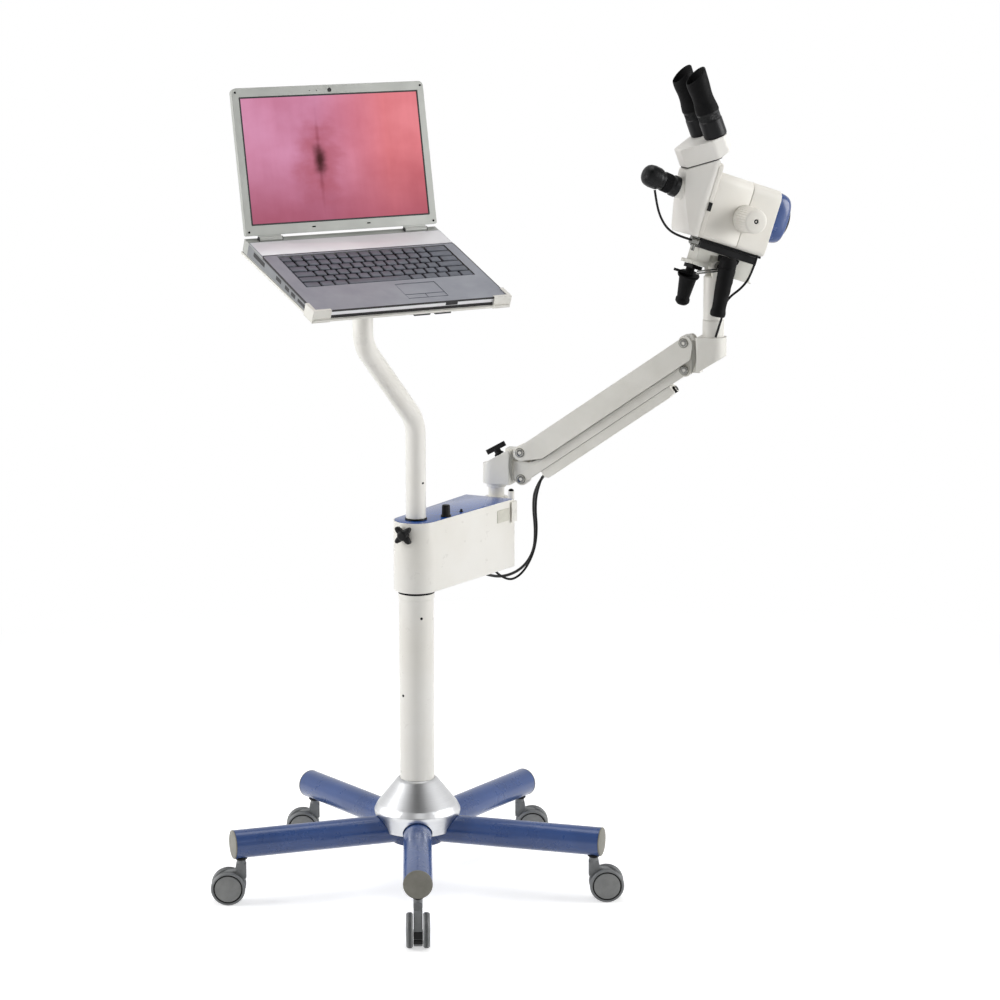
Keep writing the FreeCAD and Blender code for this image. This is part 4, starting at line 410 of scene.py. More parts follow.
# A closed section (m, 2) carried along a path: at each point its axes are square to the way and to a fixed
# side vector
def carried(path, section, side, scale=None):
    path = np.array(path, float)
    way = np.gradient(path, axis=0)
    way /= np.linalg.norm(way, axis=1)[:, None]
    first = np.cross(np.broadcast_to(side, way.shape), way)
    first /= np.linalg.norm(first, axis=1)[:, None]
    second = np.cross(way, first)
    section = np.array(section, float)
    size = np.ones(len(path)) if scale is None else np.array(scale, float)
    return (path[:, None] + first[:, None] * section[None, :, :1] * size[:, None, None]
            + second[:, None] * section[None, :, 1:] * size[:, None, None])


def circle(radius, steps=48):
    angle = np.linspace(0, 2 * math.pi, steps, endpoint=False)
    return np.stack([radius * np.cos(angle), radius * np.sin(angle)], 1)


def rectangle(x0, x1, y0, y1, radius=0.0, steps=5):
    corners = [(x0, y0), (x1, y0), (x1, y1), (x0, y1)]
    return rounded(corners, radius, steps, closed=True) if radius > 0 else np.array(corners, float)


# Turns a slab drawn in plan (x, y, z) so that its plan lies in the x-z plane and its height runs along y
def onSide(rings):
    return np.stack([rings[..., 0], rings[..., 2], rings[..., 1]], -1)


# Turns it so that its plan lies in the y-z plane and its height runs along x
def onEnd(rings):
    return np.stack([rings[..., 2], rings[..., 0], rings[..., 1]], -1)


# shells are (rows, columns, 3) arrays in world millimetres: columns close on themselves and each end gets
# one polygon, or the last row joins the first where ends is "joined"
def makePiece(name, shells, finish, body, instead=(), sharp=38, ends="capped", uvOf=None):
    points, faces, start = [], [], 0
    for rings in shells:
        rows, columns = rings.shape[:2]
        step = np.arange(columns)
        following = np.roll(step, -1)
        last = rows if ends == "joined" else rows - 1
        low = (np.arange(last) * columns)[:, None]
        high = ((np.arange(last) + 1) % rows * columns)[:, None]
        quads = np.stack([low + step, low + following, high + following, high + step], -1) + start
        faces += quads.reshape(-1, 4).tolist()
        if ends == "capped":
            faces += [(step[::-1] + start).tolist(), (step + (rows - 1) * columns + start).tolist()]
        points.append(rings.reshape(-1, 3))
        start += rows * columns
    mesh = bpy.data.meshes.new(name)
    mesh.from_pydata((np.concatenate(points) / 1000).tolist(), [], faces)
    work = bmesh.new()
    work.from_mesh(mesh)
    bmesh.ops.remove_doubles(work, verts=work.verts, dist=2e-6)
    bmesh.ops.recalc_face_normals(work, faces=work.faces)
    work.to_mesh(mesh)
    work.free()
    mesh.shade_smooth()
    mesh.set_sharp_from_angle(angle=math.radians(sharp))
    mesh.materials.append(finish)
    if uvOf is not None:
        co = np.zeros(len(mesh.vertices) * 3)
        mesh.vertices.foreach_get("co", co)
        corner = np.zeros(len(mesh.loops), np.int32)
        mesh.loops.foreach_get("vertex_index", corner)
        uv = mesh.uv_layers.new(name="panel")
        uv.data.foreach_set("uv", uvOf(co.reshape(-1, 3) * 1000)[corner].ravel())
    piece = bpy.data.objects.new(name, mesh)
    bpy.context.scene.collection.objects.link(piece)
    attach(piece, body)
    if instead:
        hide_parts(*instead)
    return piece


# camera, from the picture's own viewing point

cameraLook = {"at": (-0.14292, -5.27753, 1.726), "lens": 116.35, "yaw": 1.52, "pitch": 11.22}


def makeCamera():
    yaw, pitch = math.radians(cameraLook["yaw"]), math.radians(cameraLook["pitch"])
    way = Vector((math.sin(yaw) * math.cos(pitch), math.cos(yaw) * math.cos(pitch), -math.sin(pitch)))
    data = bpy.data.cameras.new("camera")
    data.lens, data.sensor_width, data.sensor_fit = cameraLook["lens"], 36.0, "HORIZONTAL"
    camera = bpy.data.objects.new("camera", data)
    camera.location = cameraLook["at"]
    camera.rotation_mode = "QUATERNION"
    camera.rotation_quaternion = way.to_track_quat("-Z", "Y")
    bpy.context.scene.collection.objects.link(camera)
    bpy.context.scene.camera = camera


makeCamera()
print("camera placed")


# cables: each is one smooth spline over its route of (frame, point in mm), both ends inside the object

cables = {
    "cameraCable": {"node": "camera_cable", "body": "head", "diameter": 0.004, "length": 0.117,
                    "finish": jacketBlack, "slot": "cord_black",
                    "route": [(headPlace, (-131, -3, 42)), (headPlace, (-123, -8, 22)),
                              (headPlace, (-112, -14, 2)),
                              (headPlace, (-94, -18, -14)), (headPlace, (-70, -17, -19)),
                              (headPlace, (-47, -15, -18.5))]},
    "headCable": {"node": "head_cable", "body": "arm_end", "diameter": 0.004, "length": 0.162,
                  "finish": jacketBlack, "slot": "cord_black",
                  "route": [(headPlace, (70, -36, -10.6)), (headPlace, (70, -36, -36)),
                            (headPlace, (62, -40, -66)),
                            (headPlace, (38, -38, -96)), (armPlace, (410, -24, 978)),
                            (armPlace, (396, -19.5, 936))]},
    "thickCable": {"node": "thick_cable", "body": "base", "diameter": 0.005, "length": 0.270,
                   "finish": jacketGrey, "slot": "cord_grey",
                   "route": [(armPlace, (86, 3, 676)), (armPlace, (70, 3, 654)), (armPlace, (66, 4, 620)),
                             (armPlace, (70, 6, 578)), (armPlace, (68, 4, 540)), (armPlace, (50, -4, 510)),
                             (armPlace, (22, -20, 496)), (armPlace, (-4, -42, 502)),
                             (armPlace, (-18, -60, 514.3))]},
    "thinCable": {"node": "thin_cable", "body": "base", "diameter": 0.004, "length": 0.240,
                  "finish": jacketBlack, "slot": "cord_black",
                  "route": [(armPlace, (86, -6, 676)), (armPlace, (77, -7, 652)), (armPlace, (74, -8, 620)),
                            (armPlace, (78, -9, 580)), (armPlace, (73, -12, 540)),
                            (armPlace, (54, -22, 502)),
                            (armPlace, (30, -38, 492)), (armPlace, (12, -52, 515.4))]},
}


def makeCable(name, look):
    curve = bpy.data.curves.new(name, "CURVE")
    curve.dimensions = "3D"
    curve.bevel_depth, curve.bevel_resolution, curve.resolution_u = look["diameter"] / 2, 5, 16
    curve.use_fill_caps = True
    spline = curve.splines.new("NURBS")
    route = np.array([atWorld(place, point) for place, point in look["route"]]) / 1000
    spline.points.add(len(route) - 1)
    spline.points.foreach_set("co", np.column_stack([route, np.ones(len(route))]).ravel())
    spline.order_u = 3
    spline.use_endpoint_u = True
    curve.materials.append(look["finish"])
    cable = bpy.data.objects.new(name, curve)
    bpy.context.scene.collection.objects.link(cable)
    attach(cable, look["body"])
    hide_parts(look["node"])


for cableName, cableLook in cables.items():
    makeCable(cableName, cableLook)
print("cables laid")


# base: leg tubes, caps, stem bushes and the spun cover
legLook = {"count": 5, "first": -90.0, "radius": 24.0, "tip": 324.4, "height": 103.0, "capRadius": 24.2,
           "capEnd": 326.5, "stemCircle": 312.0, "bushRadius": 9.0}


def legAngle(i):
    return legLook["first"] + 360 / legLook["count"] * i


def legPlace(i):
    return within(columnPlace, (0, 0, legLook["height"]), turn("z", legAngle(i)) @ turn("y", 90))


def stemFoot(i):
    a = math.radians(legAngle(i))
    return legLook["stemCircle"] * math.cos(a), legLook["stemCircle"] * math.sin(a), 0


def makeBase():
    r, tip, cap = legLook["radius"], legLook["tip"], legLook["capRadius"]
    places = [legPlace(i) for i in range(legLook["count"])]
    tube = turned(rounded([(0, 12), (r, 12), (r, tip), (r - 3, tip), (0, tip)], [0, 0, 0.6, 0, 0]), 96)
    drum = turned([(0, -24), (44, -24), (44, 24), (0, 24)], 72)
    hub = within(columnPlace, (0, 0, legLook["height"]), np.eye(3))
    shells = [atWorld(p, tube) for p in places] + [atWorld(hub, drum)]
    makePiece("legTubes", shells, powderBlue, "base", ["leg_star"])
    capLine = rounded([(0, tip - 3), (cap - 4, tip - 3), (cap - 4, tip + 0.2), (cap, tip + 0.2),
                       (cap, legLook["capEnd"]), (0, legLook["capEnd"])], [0, 0, 0, 0.4, 1.6, 0], 6)
    makePiece("legCaps", [atWorld(p, turned(capLine, 72)) for p in places], nylonCap, "base",
              ["leg_end_caps"])
    wide = legLook["bushRadius"]
    bush = turned(rounded([(0, 76), (wide, 76), (wide, 84), (0, 84)], [0, 0.8, 0, 0]), 48)
    flange = turned(rounded([(0, 77.4), (10.5, 77.4), (10.5, 80), (0, 80)], [0, 0.6, 0.6, 0]), 48)
    feet = []
    for i in range(legLook["count"]):
        feet += [atWorld(within(columnPlace, stemFoot(i), np.eye(3)), rings) for rings in (bush, flange)]
    makePiece("stemBushes", feet, blackNylon, "base")


coverLook = {"profile": [(32, 190), (35.4, 187), (68.5, 145.5), (73.5, 135.5), (73.2, 130), (63, 101)],
             "bends": [0, 1.5, 9, 7, 7, 0], "legGap": 26.0, "wall": 2.5, "rows": 64, "columns": 720}


# A surface of revolution whose lower rim is cut by the legs: where the radius times the sine of the angle
# from the nearest leg is s, below the gap g, the rim stands at the leg's height plus the root of g squared
# less s squared.
def makeHubCover():
    line = rounded(coverLook["profile"], coverLook["bends"], 8)[::-1]
    angle = np.linspace(0, 2 * math.pi, coverLook["columns"], endpoint=False)
    step = math.radians(360 / legLook["count"])
    gap = coverLook["legGap"]
    off = (angle - math.radians(legLook["first"]) + step / 2) % step - step / 2
    rim = np.full_like(angle, line[0, 1])
    for _ in range(12):
        across = np.interp(rim, line[:, 1], line[:, 0]) * np.sin(off)
        arch = np.sqrt(np.clip(gap ** 2 - across ** 2, 0, None))
        rim = np.maximum(line[0, 1], legLook["height"] + arch - 2.0 * (np.abs(across) >= gap - 0.01))
    share = np.linspace(0, 1, coverLook["rows"])[:, None]
    top = line[-1, 1]
    height = top + (rim[None] - top) * share
    radius = np.interp(height, line[:, 1], line[:, 0])
    inner = np.maximum(radius - coverLook["wall"], 30)
    rings = np.concatenate([np.stack([r * np.cos(angle), r * np.sin(angle), h], -1) for r, h in
                            ((radius, height), (inner[::-1], height[::-1]))])
    makePiece("hubCover", [atWorld(columnPlace, rings)], spunAluminium, "base",
              ["hub_cover"], sharp=50, ends="joined")


makeBase()
makeHubCover()
print("base made")


# casters: twin wheels with a side disc in a black ring, and a fork between them
casterLook = {"names": ["front", "right", "rear_right", "rear_left", "left"], "turns": [-90, 0, 0, 180, 180],
              "wheelRadius": 29.0, "trail": 22.0, "inner": 8.3, "width": 11.0, "discRadius": 22.2,
              "ringRadius": 24.6, "forkHalf": 7.3}


def makeCaster(i, name):
    place = within(columnPlace, stemFoot(i), turn("z", casterLook["turns"][i]))
    r, low = casterLook["wheelRadius"], casterLook["inner"]
    high = low + casterLook["width"]
    ring, disc = casterLook["ringRadius"], casterLook["discRadius"]
    rimLine = rounded([(0, low), (r - 2.5, low), (r, low + 2.2), (r, high - 3), (r - 2.2, high),
                       (ring, high), (ring, high - 2), (0, high - 2)], [0, 1.2, 1.5, 2.5, 1.6, 0.4, 0, 0])
    treadLine = [(r - 0.6, low + 2.6), (r, low + 3), (r, high - 4), (r - 0.6, high - 3.6)]
    ringLine = [(ring - 0.1, high - 1.9), (ring - 0.1, high - 0.7), (disc + 0.1, high - 0.7),
                (disc + 0.1, high - 1.9)]
    discLine = rounded([(0, high - 1.9), (disc, high - 1.9), (disc, high), (0, high + 0.7)], [0, 0, 0.9, 0])
    hubs = [aimed(place, (casterLook["trail"], 0, r), (0, side, 0)) for side in (-1, 1)]
    tag = "caster_" + name
    body = "wheels_" + name
    makePiece(tag + "_rims", [atWorld(h, turned(rimLine, 96)) for h in hubs], nylonGrey, body,
              ["caster_wheels_" + name])
    makePiece(tag + "_rings", [atWorld(h, turned(ringLine, 72)) for h in hubs], blackNylon, body,
              ends="joined")
    makePiece(tag + "_discs", [atWorld(h, turned(discLine, 72)) for h in hubs], nylonDisc, body)
    makePiece(tag + "_treads", [atWorld(h, turned(treadLine, 96)) for h in hubs], treadGrey, body,
              ends="joined")
    # the fork's outline: a stem block running into a disc about the axle
    spread = np.radians(np.linspace(52, -215, 40))
    rim = np.stack([casterLook["trail"] + 25 * np.cos(spread), 28 + 25 * np.sin(spread)], 1)
    outline = np.concatenate([[(-8.3, 70), (8.3, 70), (10.5, 58), (24, 56)], rim, [(-8.3, 44)]])
    half = casterLook["forkHalf"]
    fork = onSide(slab(outline, softEdges(-half, half, 1.5, 1.5)))
    stem = turned(rounded([(0, 60), (7.6, 60), (7.6, 75.6), (0, 75.6)], [0, 0, 1, 0]), 48)
    # black blocks between the twin wheels, which make the gap between them dark
    blocks = [onEnd(slab(rectangle(-7.8, 7.8, low, high, 1.5, 4), [(30, 0), (47.6, 0), (48.4, 0.8)]))
              for low, high in ((22.5, 34.0), (13.5, 20.5))]
    makePiece(tag + "_darkGapBlocks", [atWorld(place, b) for b in blocks], blackNylon, "caster_" + name)
    pin = turned([(0, 70), (6, 70), (6, 96), (0, 96)], 32)
    makePiece(tag + "_fork", [atWorld(place, fork), atWorld(place, stem), atWorld(place, pin)], nylonGrey,
              "caster_" + name, ["caster_fork_" + name])


for casterIndex, casterName in enumerate(casterLook["names"]):
    makeCaster(casterIndex, casterName)
print("casters made")


# column, light box and pole
columnLook = {"radius": 29.5, "foot": 127.3, "top": 516.7, "collarRadius": 30.5, "collarLow": 503,
              "collarHigh": 513, "screws": [(-73.3, 473.0), (-141.4, 337.0)]}
boxLook = {"low": 517.0, "high": 629.6, "plateTop": 638.0, "round": 38.0, "farRight": (171.0, 174.5),
           "farLeft": (87.0, 218.0), "rim": 1.5, "screw": (77.0, 63.3, 0.0),
           "socketCap": (165.3, 183.1, 650.0)}
bracketLook = {"low": 598.0, "high": 634.0, "thick": 6.0, "sheet": 1.6, "gap": 0.5, "fold": 14.0}
poleLook = {"radius": 17.0, "low": 430.0, "bendLow": 806.0, "bendHigh": 948.0, "top": 1030.0, "bend": 60.0,
            "head": (0, -84, -45), "button": (11.9, -11.9, 702.0)}


# Plan of the box: a circle about the column and the tangents from the two far corners
def boxOutline():
    r = boxLook["round"]

    def touch(point, side):
        far = math.hypot(*point)
        return math.atan2(point[1], point[0]) + side * math.acos(r / far)

    first, last = touch(boxLook["farLeft"], 1), touch(boxLook["farRight"], -1)
    arc = np.linspace(first, last + (2 * math.pi if last < first else 0), 72)
    return np.concatenate([np.stack([r * np.cos(arc), r * np.sin(arc)], 1),
                           rounded([boxLook["farRight"], boxLook["farLeft"]], 0)])


def makeColumnAndBox():
    look = columnLook
    r, collar = look["radius"], look["collarRadius"]
    line = rounded([(0, look["foot"]), (r, look["foot"]), (r, look["collarLow"]),
                    (collar, look["collarLow"] + 0.6),
                    (collar, look["collarHigh"] - 0.6), (r, look["collarHigh"]), (r, look["top"]),
                    (0, look["top"])],
                   [0, 0.5, 0, 0.8, 0.8, 0, 0, 0])
    makePiece("columnTube", [atWorld(columnPlace, turned(line, 128))], powderIvory, "base",
              ["column"])
    screwLine = rounded([(0, -1), (2.3, -1), (2.3, 0.5), (1.1, 0.9), (0, 0.2)], [0, 0, 0.4, 0, 0])
    screws = []
    for degrees, height in look["screws"]:
        a = math.radians(degrees)
        way = (math.cos(a), math.sin(a), 0)
        screws.append(atWorld(aimed(columnPlace, (r * way[0], r * way[1], height), way),
                              turned(screwLine, 24)))
    makePiece("columnScrews", screws, blackNylon, "base")
    outline = boxOutline()
    low, high, top = boxLook["low"], boxLook["high"], boxLook["plateTop"]
    rim = boxLook["rim"]
    shell = slab(outline, [tuple(v) for v in softEdges(low, top - 0.4, 3.0, 0.5, 5)] + [(top - 0.4, rim),
                                                                                        (high, rim)])
    makePiece("lightBoxShell", [atWorld(columnPlace, shell)], powderIvory, "base",
              ["box_shell"])
    over = softEdges(high + 0.4, top, 0.2, 0.5, 3) + np.array([0, rim + 0.15])
    makePiece("lightBoxPlate", [atWorld(columnPlace, slab(outline, over))], lacquerBlue, "base",
              ["box_top"])
    # a black ring between the column's collar and the box's bottom: painted shadow of the gap under the box
    paintedShadow = turned([(29.6, 512.9), (30.9, 512.9), (30.9, 516.9), (29.6, 516.9)], 96)
    makePiece("columnShadowRing", [atWorld(columnPlace, paintedShadow)], rubberBlack, "base",
              ends="joined")
    ring = turned(rounded([(17.1, 638.1), (18.5, 638.1), (18.5, 641.5), (17.1, 641.5)], [0, 0, 0.7, 0]), 96)
    makePiece("poleRing", [atWorld(columnPlace, ring)], blackNylon, "base", ["plate_trim"],
              ends="joined")
    screw = turned(rounded([(0, 637.5), (3.4, 637.5), (3.4, 639), (2.1, 639.4), (2.1, 642.5), (0, 642.9)],
                           [0, 0, 0.3, 0.2, 0.6, 0]), 36)
    makePiece("plateScrew", [atWorld(within(columnPlace, boxLook["screw"], np.eye(3)), screw)], blackNylon,
              "base")
    socket = within(columnPlace, boxLook["socketCap"], np.eye(3))
    capLine = rounded([(0, -2), (4.6, -2), (4.6, 1.0), (3.4, 3.2), (0, 4.2)], [0, 0, 1, 2, 0])
    makePiece("socketCap", [atWorld(socket, turned(capLine, 32))], rubberBlack, "base")


# Strap across the box's far end: its outline runs along the end wall and folds round the right corner
def makeBracket():
    look = bracketLook
    right, left = np.array(boxLook["farRight"]), np.array(boxLook["farLeft"])
    way = (right - left) / np.linalg.norm(right - left)
    out = np.array([-way[1], way[0]])
    thick, gap, fold = look["thick"], look["gap"], look["fold"]
    outline = [left + out * gap, right + out * gap + way * gap, right - out * fold + way * gap,
               right - out * fold + way * (gap + look["sheet"]),
               right + out * thick + way * (gap + look["sheet"]), left + out * thick]
    strap = slab(outline, softEdges(look["low"], look["high"], 0.5, 0.5, 2))
    post = within(columnPlace, postFoot, np.eye(3))
    collar = turned(rounded([(14.2, 592), (21, 592), (21, 635), (14.2, 635)], [0, 1, 2, 0]), 72)
    shaft = turned(rounded([(0, 592), (14, 592), (14, 652), (17, 653), (17, 659.7), (14, 659.7), (14, 692),
                            (0, 692)],
                           [0, 1, 1, 0.6, 0.4, 0, 1, 0]), 96)
    socket = turned(rounded([(0, 625), (5.5, 625), (5.5, 650), (0, 650)], [0, 0, 0.6, 0]), 48)
    foot = right - way * 9 + out * 5
    shells = [atWorld(columnPlace, strap), atWorld(post, shaft),
              atWorld(within(columnPlace, (foot[0], foot[1], 0), np.eye(3)), socket)]
    makePiece("postBracket", shells, powderIvory, "base", ["post_bracket"])
    makePiece("postCollar", [atWorld(post, collar)], powderIvory, "base", ends="joined")


def makePole():
    high = atWorld(deckPlace, poleLook["head"]) - columnPlace[1]
    path = rounded([(0, 0, poleLook["low"]), (0, 0, poleLook["bendLow"]),
                    (high[0], high[1], poleLook["bendHigh"]),
                    (high[0], high[1], poleLook["top"])], [0, poleLook["bend"], poleLook["bend"], 0], 24)
    extra = np.linspace(path[0], path[1], 24)[1:-1]
    path = np.concatenate([path[:1], extra, path[1:]])
    side = np.cross((0, 0, 1), (high[0], high[1], 0))
    side /= np.linalg.norm(side)
    makePiece("bentPole", [atWorld(columnPlace, carried(path, circle(poleLook["radius"], 72), side))],
              powderIvory, "pole", ["pole"])
    plug = aimed(columnPlace, poleLook["button"], (0.7, -0.7, 0))
    makePiece("poleButton", [atWorld(plug, turned([(0, -2), (2.4, -2), (2.4, 0.1), (0, 0.25)], 24))],
              blackNylon, "pole")


makeColumnAndBox()
makeBracket()
makePole()
print("column, box and pole made")


# hand knobs
knobLook = {"clampTurn": 242.0, "clampHeight": 619.0, "clampStart": 39.0, "waist": 7.6, "reach": 11.0,
            "dimmer": (50.6, 22.3), "dimmerRadius": 7.2, "dimmerHeight": 20.0, "flutes": 14}


# The four-lobe outline: radius = waist + reach times the square root of (1 + cos 4a) / 2, raised to 2.6
def makeKnobs():
    a = math.radians(knobLook["clampTurn"])
    way = (math.cos(a), math.sin(a), 0)
    base = (knobLook["clampStart"] * way[0], knobLook["clampStart"] * way[1], knobLook["clampHeight"])
    place = aimed(columnPlace, base, way)
    angle = np.linspace(0, 2 * math.pi, 144, endpoint=False)
    r = knobLook["waist"] + knobLook["reach"] * ((1 + np.cos(4 * angle - math.pi)) / 2) ** 1.3
    lobes = slab(np.stack([r * np.cos(angle), r * np.sin(angle)], 1), softEdges(2.2, 12.6, 2.2, 2.6, 5))
    hub = turned(rounded([(0, 0), (8, 0), (8.6, 2), (8.6, 13), (5.5, 15), (0, 15)], [0, 0.5, 0, 2, 1, 0]),
                 48)
    screw = turned([(0, -22), (4, -22), (4, 1), (0, 1)], 32)
    makePiece("clampKnob", [atWorld(place, s) for s in (lobes, hub, screw)], blackNylon, "clamp",
              ["clamp_knob"])
    x, y = knobLook["dimmer"]
    place = within(columnPlace, (x, y, 638.3), np.eye(3))
    top, r = knobLook["dimmerHeight"], knobLook["dimmerRadius"]

    def flutes(angle, height):
        deep = np.clip((height - 4.5) / 2, 0, 1)
        return 1 - 0.05 * deep * (0.5 + 0.5 * np.cos(knobLook["flutes"] * angle)) ** 2

    body = turned(rounded([(0, 3.2), (r, 3.2), (r, 4.5), (r, 6.5), (r - 0.2, 12), (r - 0.3, top - 1.6),
                           (r - 1.6, top), (0, top)], [0, 0, 0, 0, 0, 0.6, 1, 0]), 112, flutes)
    skirt = turned(rounded([(0, 0), (8.8, 0), (8.8, 2.2), (7.2, 3.6), (0, 3.6)], [0, 0.4, 0.8, 0.6, 0]), 72)
    makePiece("dimmerKnob", [atWorld(place, body), atWorld(place, skirt)], blackNylon, "dimmer",
              ["dimmer_knob"])


makeKnobs()
print("knobs made")


# head: rear shell, seam band, objective cap, magnification knob, eyepieces, camera and near grip
headLook = {"half": 44.0, "low": -10.5, "high": 103.5, "bandFront": -49.45, "bandBack": -41.5, "end": 79.0,
            "seam": 24.0, "seamDepth": 0.9, "knob": (24.2, 40.8), "knobBase": 23.0, "knobFace": 20.8,
            "knobLength": 44.0, "knobRibs": 30, "lensHeight": 56.5}


def makeRearShell():
    look = headLook
    h, low, high, seam = look["half"], look["low"], look["high"], look["seam"]
    outline = rounded([(-h, low), (h, low), (h, high), (-h, high)], [8, 8, 17, 17], 14, closed=True)
    deep = look["seamDepth"]
    levels = [(look["bandBack"], 0.6), (look["bandBack"] + 0.6, 0), (seam - 1.1, 0), (seam - 0.7, 0.25),
              (seam - 0.6, deep), (seam + 0.6, deep), (seam + 0.7, 0.25), (seam + 1.1, 0)]
    levels += [tuple(v) for v in softEdges(seam + 2, look["end"], 0, 2.2, 6)[5:]]
    makePiece("rearShell", [atWorld(headPlace, onEnd(slab(outline, levels)))], mouldedIvory, "head",
              ["rear_housing"])
    band = rounded([(-h - 1, low), (h + 1, low), (h + 1, 117), (-h - 1, 117)], [8, 8, 10, 10], 12,
                   closed=True)
    edges = softEdges(look["bandFront"], look["bandBack"] - 0.05, 0.7, 0.7, 4)
    makePiece("seamBand", [atWorld(headPlace, onEnd(slab(band, edges)))], mouldedIvory, "head",
              ["seam_strip"])


objectiveLook = {"foot": 79.05, "length": 27.6, "front": 33.5, "wider": 8.6, "taller": 9.9, "opening": 28.4}


# The cap's section is a rounded rectangle that turns into the lens circle: |y/a|^n + |z/b|^n = 1, with a, b
# and n sliding along the cap from its foot to its rim.
def makeObjective():
    share = np.array([0, 0.12, 0.26, 0.42, 0.58, 0.72, 0.83, 0.91, 0.965, 1.0, 1.0])
    bulge = np.sqrt(np.clip(1 - share ** 2.3, 0, 1))
    x = objectiveLook["foot"] + objectiveLook["length"] * share
    half = objectiveLook["front"] + objectiveLook["wider"] * bulge
    tall = objectiveLook["front"] + objectiveLook["taller"] * bulge
    middle = headLook["lensHeight"] + 2.0 * bulge
    power = 2.0 + 3.2 * bulge
    half[-1] = tall[-1] = objectiveLook["opening"]
    angle = np.linspace(0, 2 * math.pi, 120, endpoint=False)[None, :]
    c, s = np.cos(angle), np.sin(angle)
    y = half[:, None] * np.sign(c) * np.abs(c) ** (2 / power[:, None])
    z = middle[:, None] + tall[:, None] * np.sign(s) * np.abs(s) ** (2 / power[:, None])
    rings = np.stack([np.broadcast_to(x[:, None], y.shape), y, z], -1)
    makePiece("objectiveCap", [atWorld(headPlace, rings)], mouldedBlue, "head",
              ["objective_cap"], sharp=50)
    place = aimed(headPlace, (79.3, 0, headLook["lensHeight"]), (1, 0, 0))
    cell = rounded([(24.5, 22), (26.2, 22), (26.2, 27), (27, 30.6), (29.4, 30.6), (29.4, 31.9), (28.6, 31.9),
                    (28.0, 29.2), (28.0, 22)], [0, 0, 0.3, 0.8, 0.8, 0.4, 0, 0, 0])
    makePiece("lensRim", [atWorld(place, turned(cell, 96))], anodisedBlack, "head",
              ends="joined")
    dark = turned([(0, 18), (26, 18), (26, 19.6), (0, 19.6)], 64)
    makePiece("lensBaffle", [atWorld(place, dark)], keyWell, "head")


# The knob's flank is scalloped: its radius shrinks by up to four and a half hundredths where the cosine of
# the rib angle is low
def makeMagKnob():
    look = headLook
    x, z = look["knob"]
    place = aimed(headPlace, (x, -look["half"] - 0.3, z), (0, -1, 0))
    face, length = look["knobFace"], look["knobLength"]

    def ribs(angle, height):
        wave = 0.5 - 0.5 * np.cos(look["knobRibs"] * angle)
        deep = np.clip((height - 7) / 2, 0, 1) * np.clip((length - 2.2 - height) / 3.5, 0, 1)
        return 1 - 0.045 * deep * wave ** 1.6

    flank = [(face + 0.9, h) for h in np.linspace(6, 9, 3)] + [(face + 0.7 - 0.02 * h, h) for h in
                                                              np.linspace(12, length - 6, 8)]
    line = [(0, 2)] + flank + [(face - 0.4, length - 4.0), (face - 1.0, length - 2.0),
                               (face - 2.4, length - 0.6),
                               (face - 4.2, length - 0.1), (4.6, length), (4.2, length - 0.8),
                               (0, length - 0.8)]
    skirt = rounded([(0, 0), (look["knobBase"], 0), (look["knobBase"], 4.2), (face + 1.2, 6.4), (0, 6.4)],
                    [0, 0.8, 1.2, 0.8, 0], 6)
    makePiece("magnificationKnob", [atWorld(place, turned(line, 240, ribs)),
                                    atWorld(place, turned(skirt, 96))],
              mouldedIvory, "mag_knob", ["mag_knob"], sharp=50)
    screw = rounded([(0, length - 2.5), (3.9, length - 2.5), (3.9, length - 0.6), (3.0, length - 0.1),
                     (1.7, length - 0.1), (1.6, length - 1.8), (0, length - 1.8)], [0, 0, 0.3, 0.3, 0, 0, 0])
    makePiece("magnificationKnobScrew", [atWorld(place, turned(screw, 36))], anodisedBlack, "mag_knob",
              sharp=30)


# Eyepiece: a straight socket, a knurled ring and a rubber cup. The cup's rim leans: at angle a its height
# drops by the wing's depth times (1 - cos a) / 2, so it peaks on one side.
eyeLook = {"half": 28.0, "length": 108.9, "wing": 17.0, "cupFoot": 44.0}


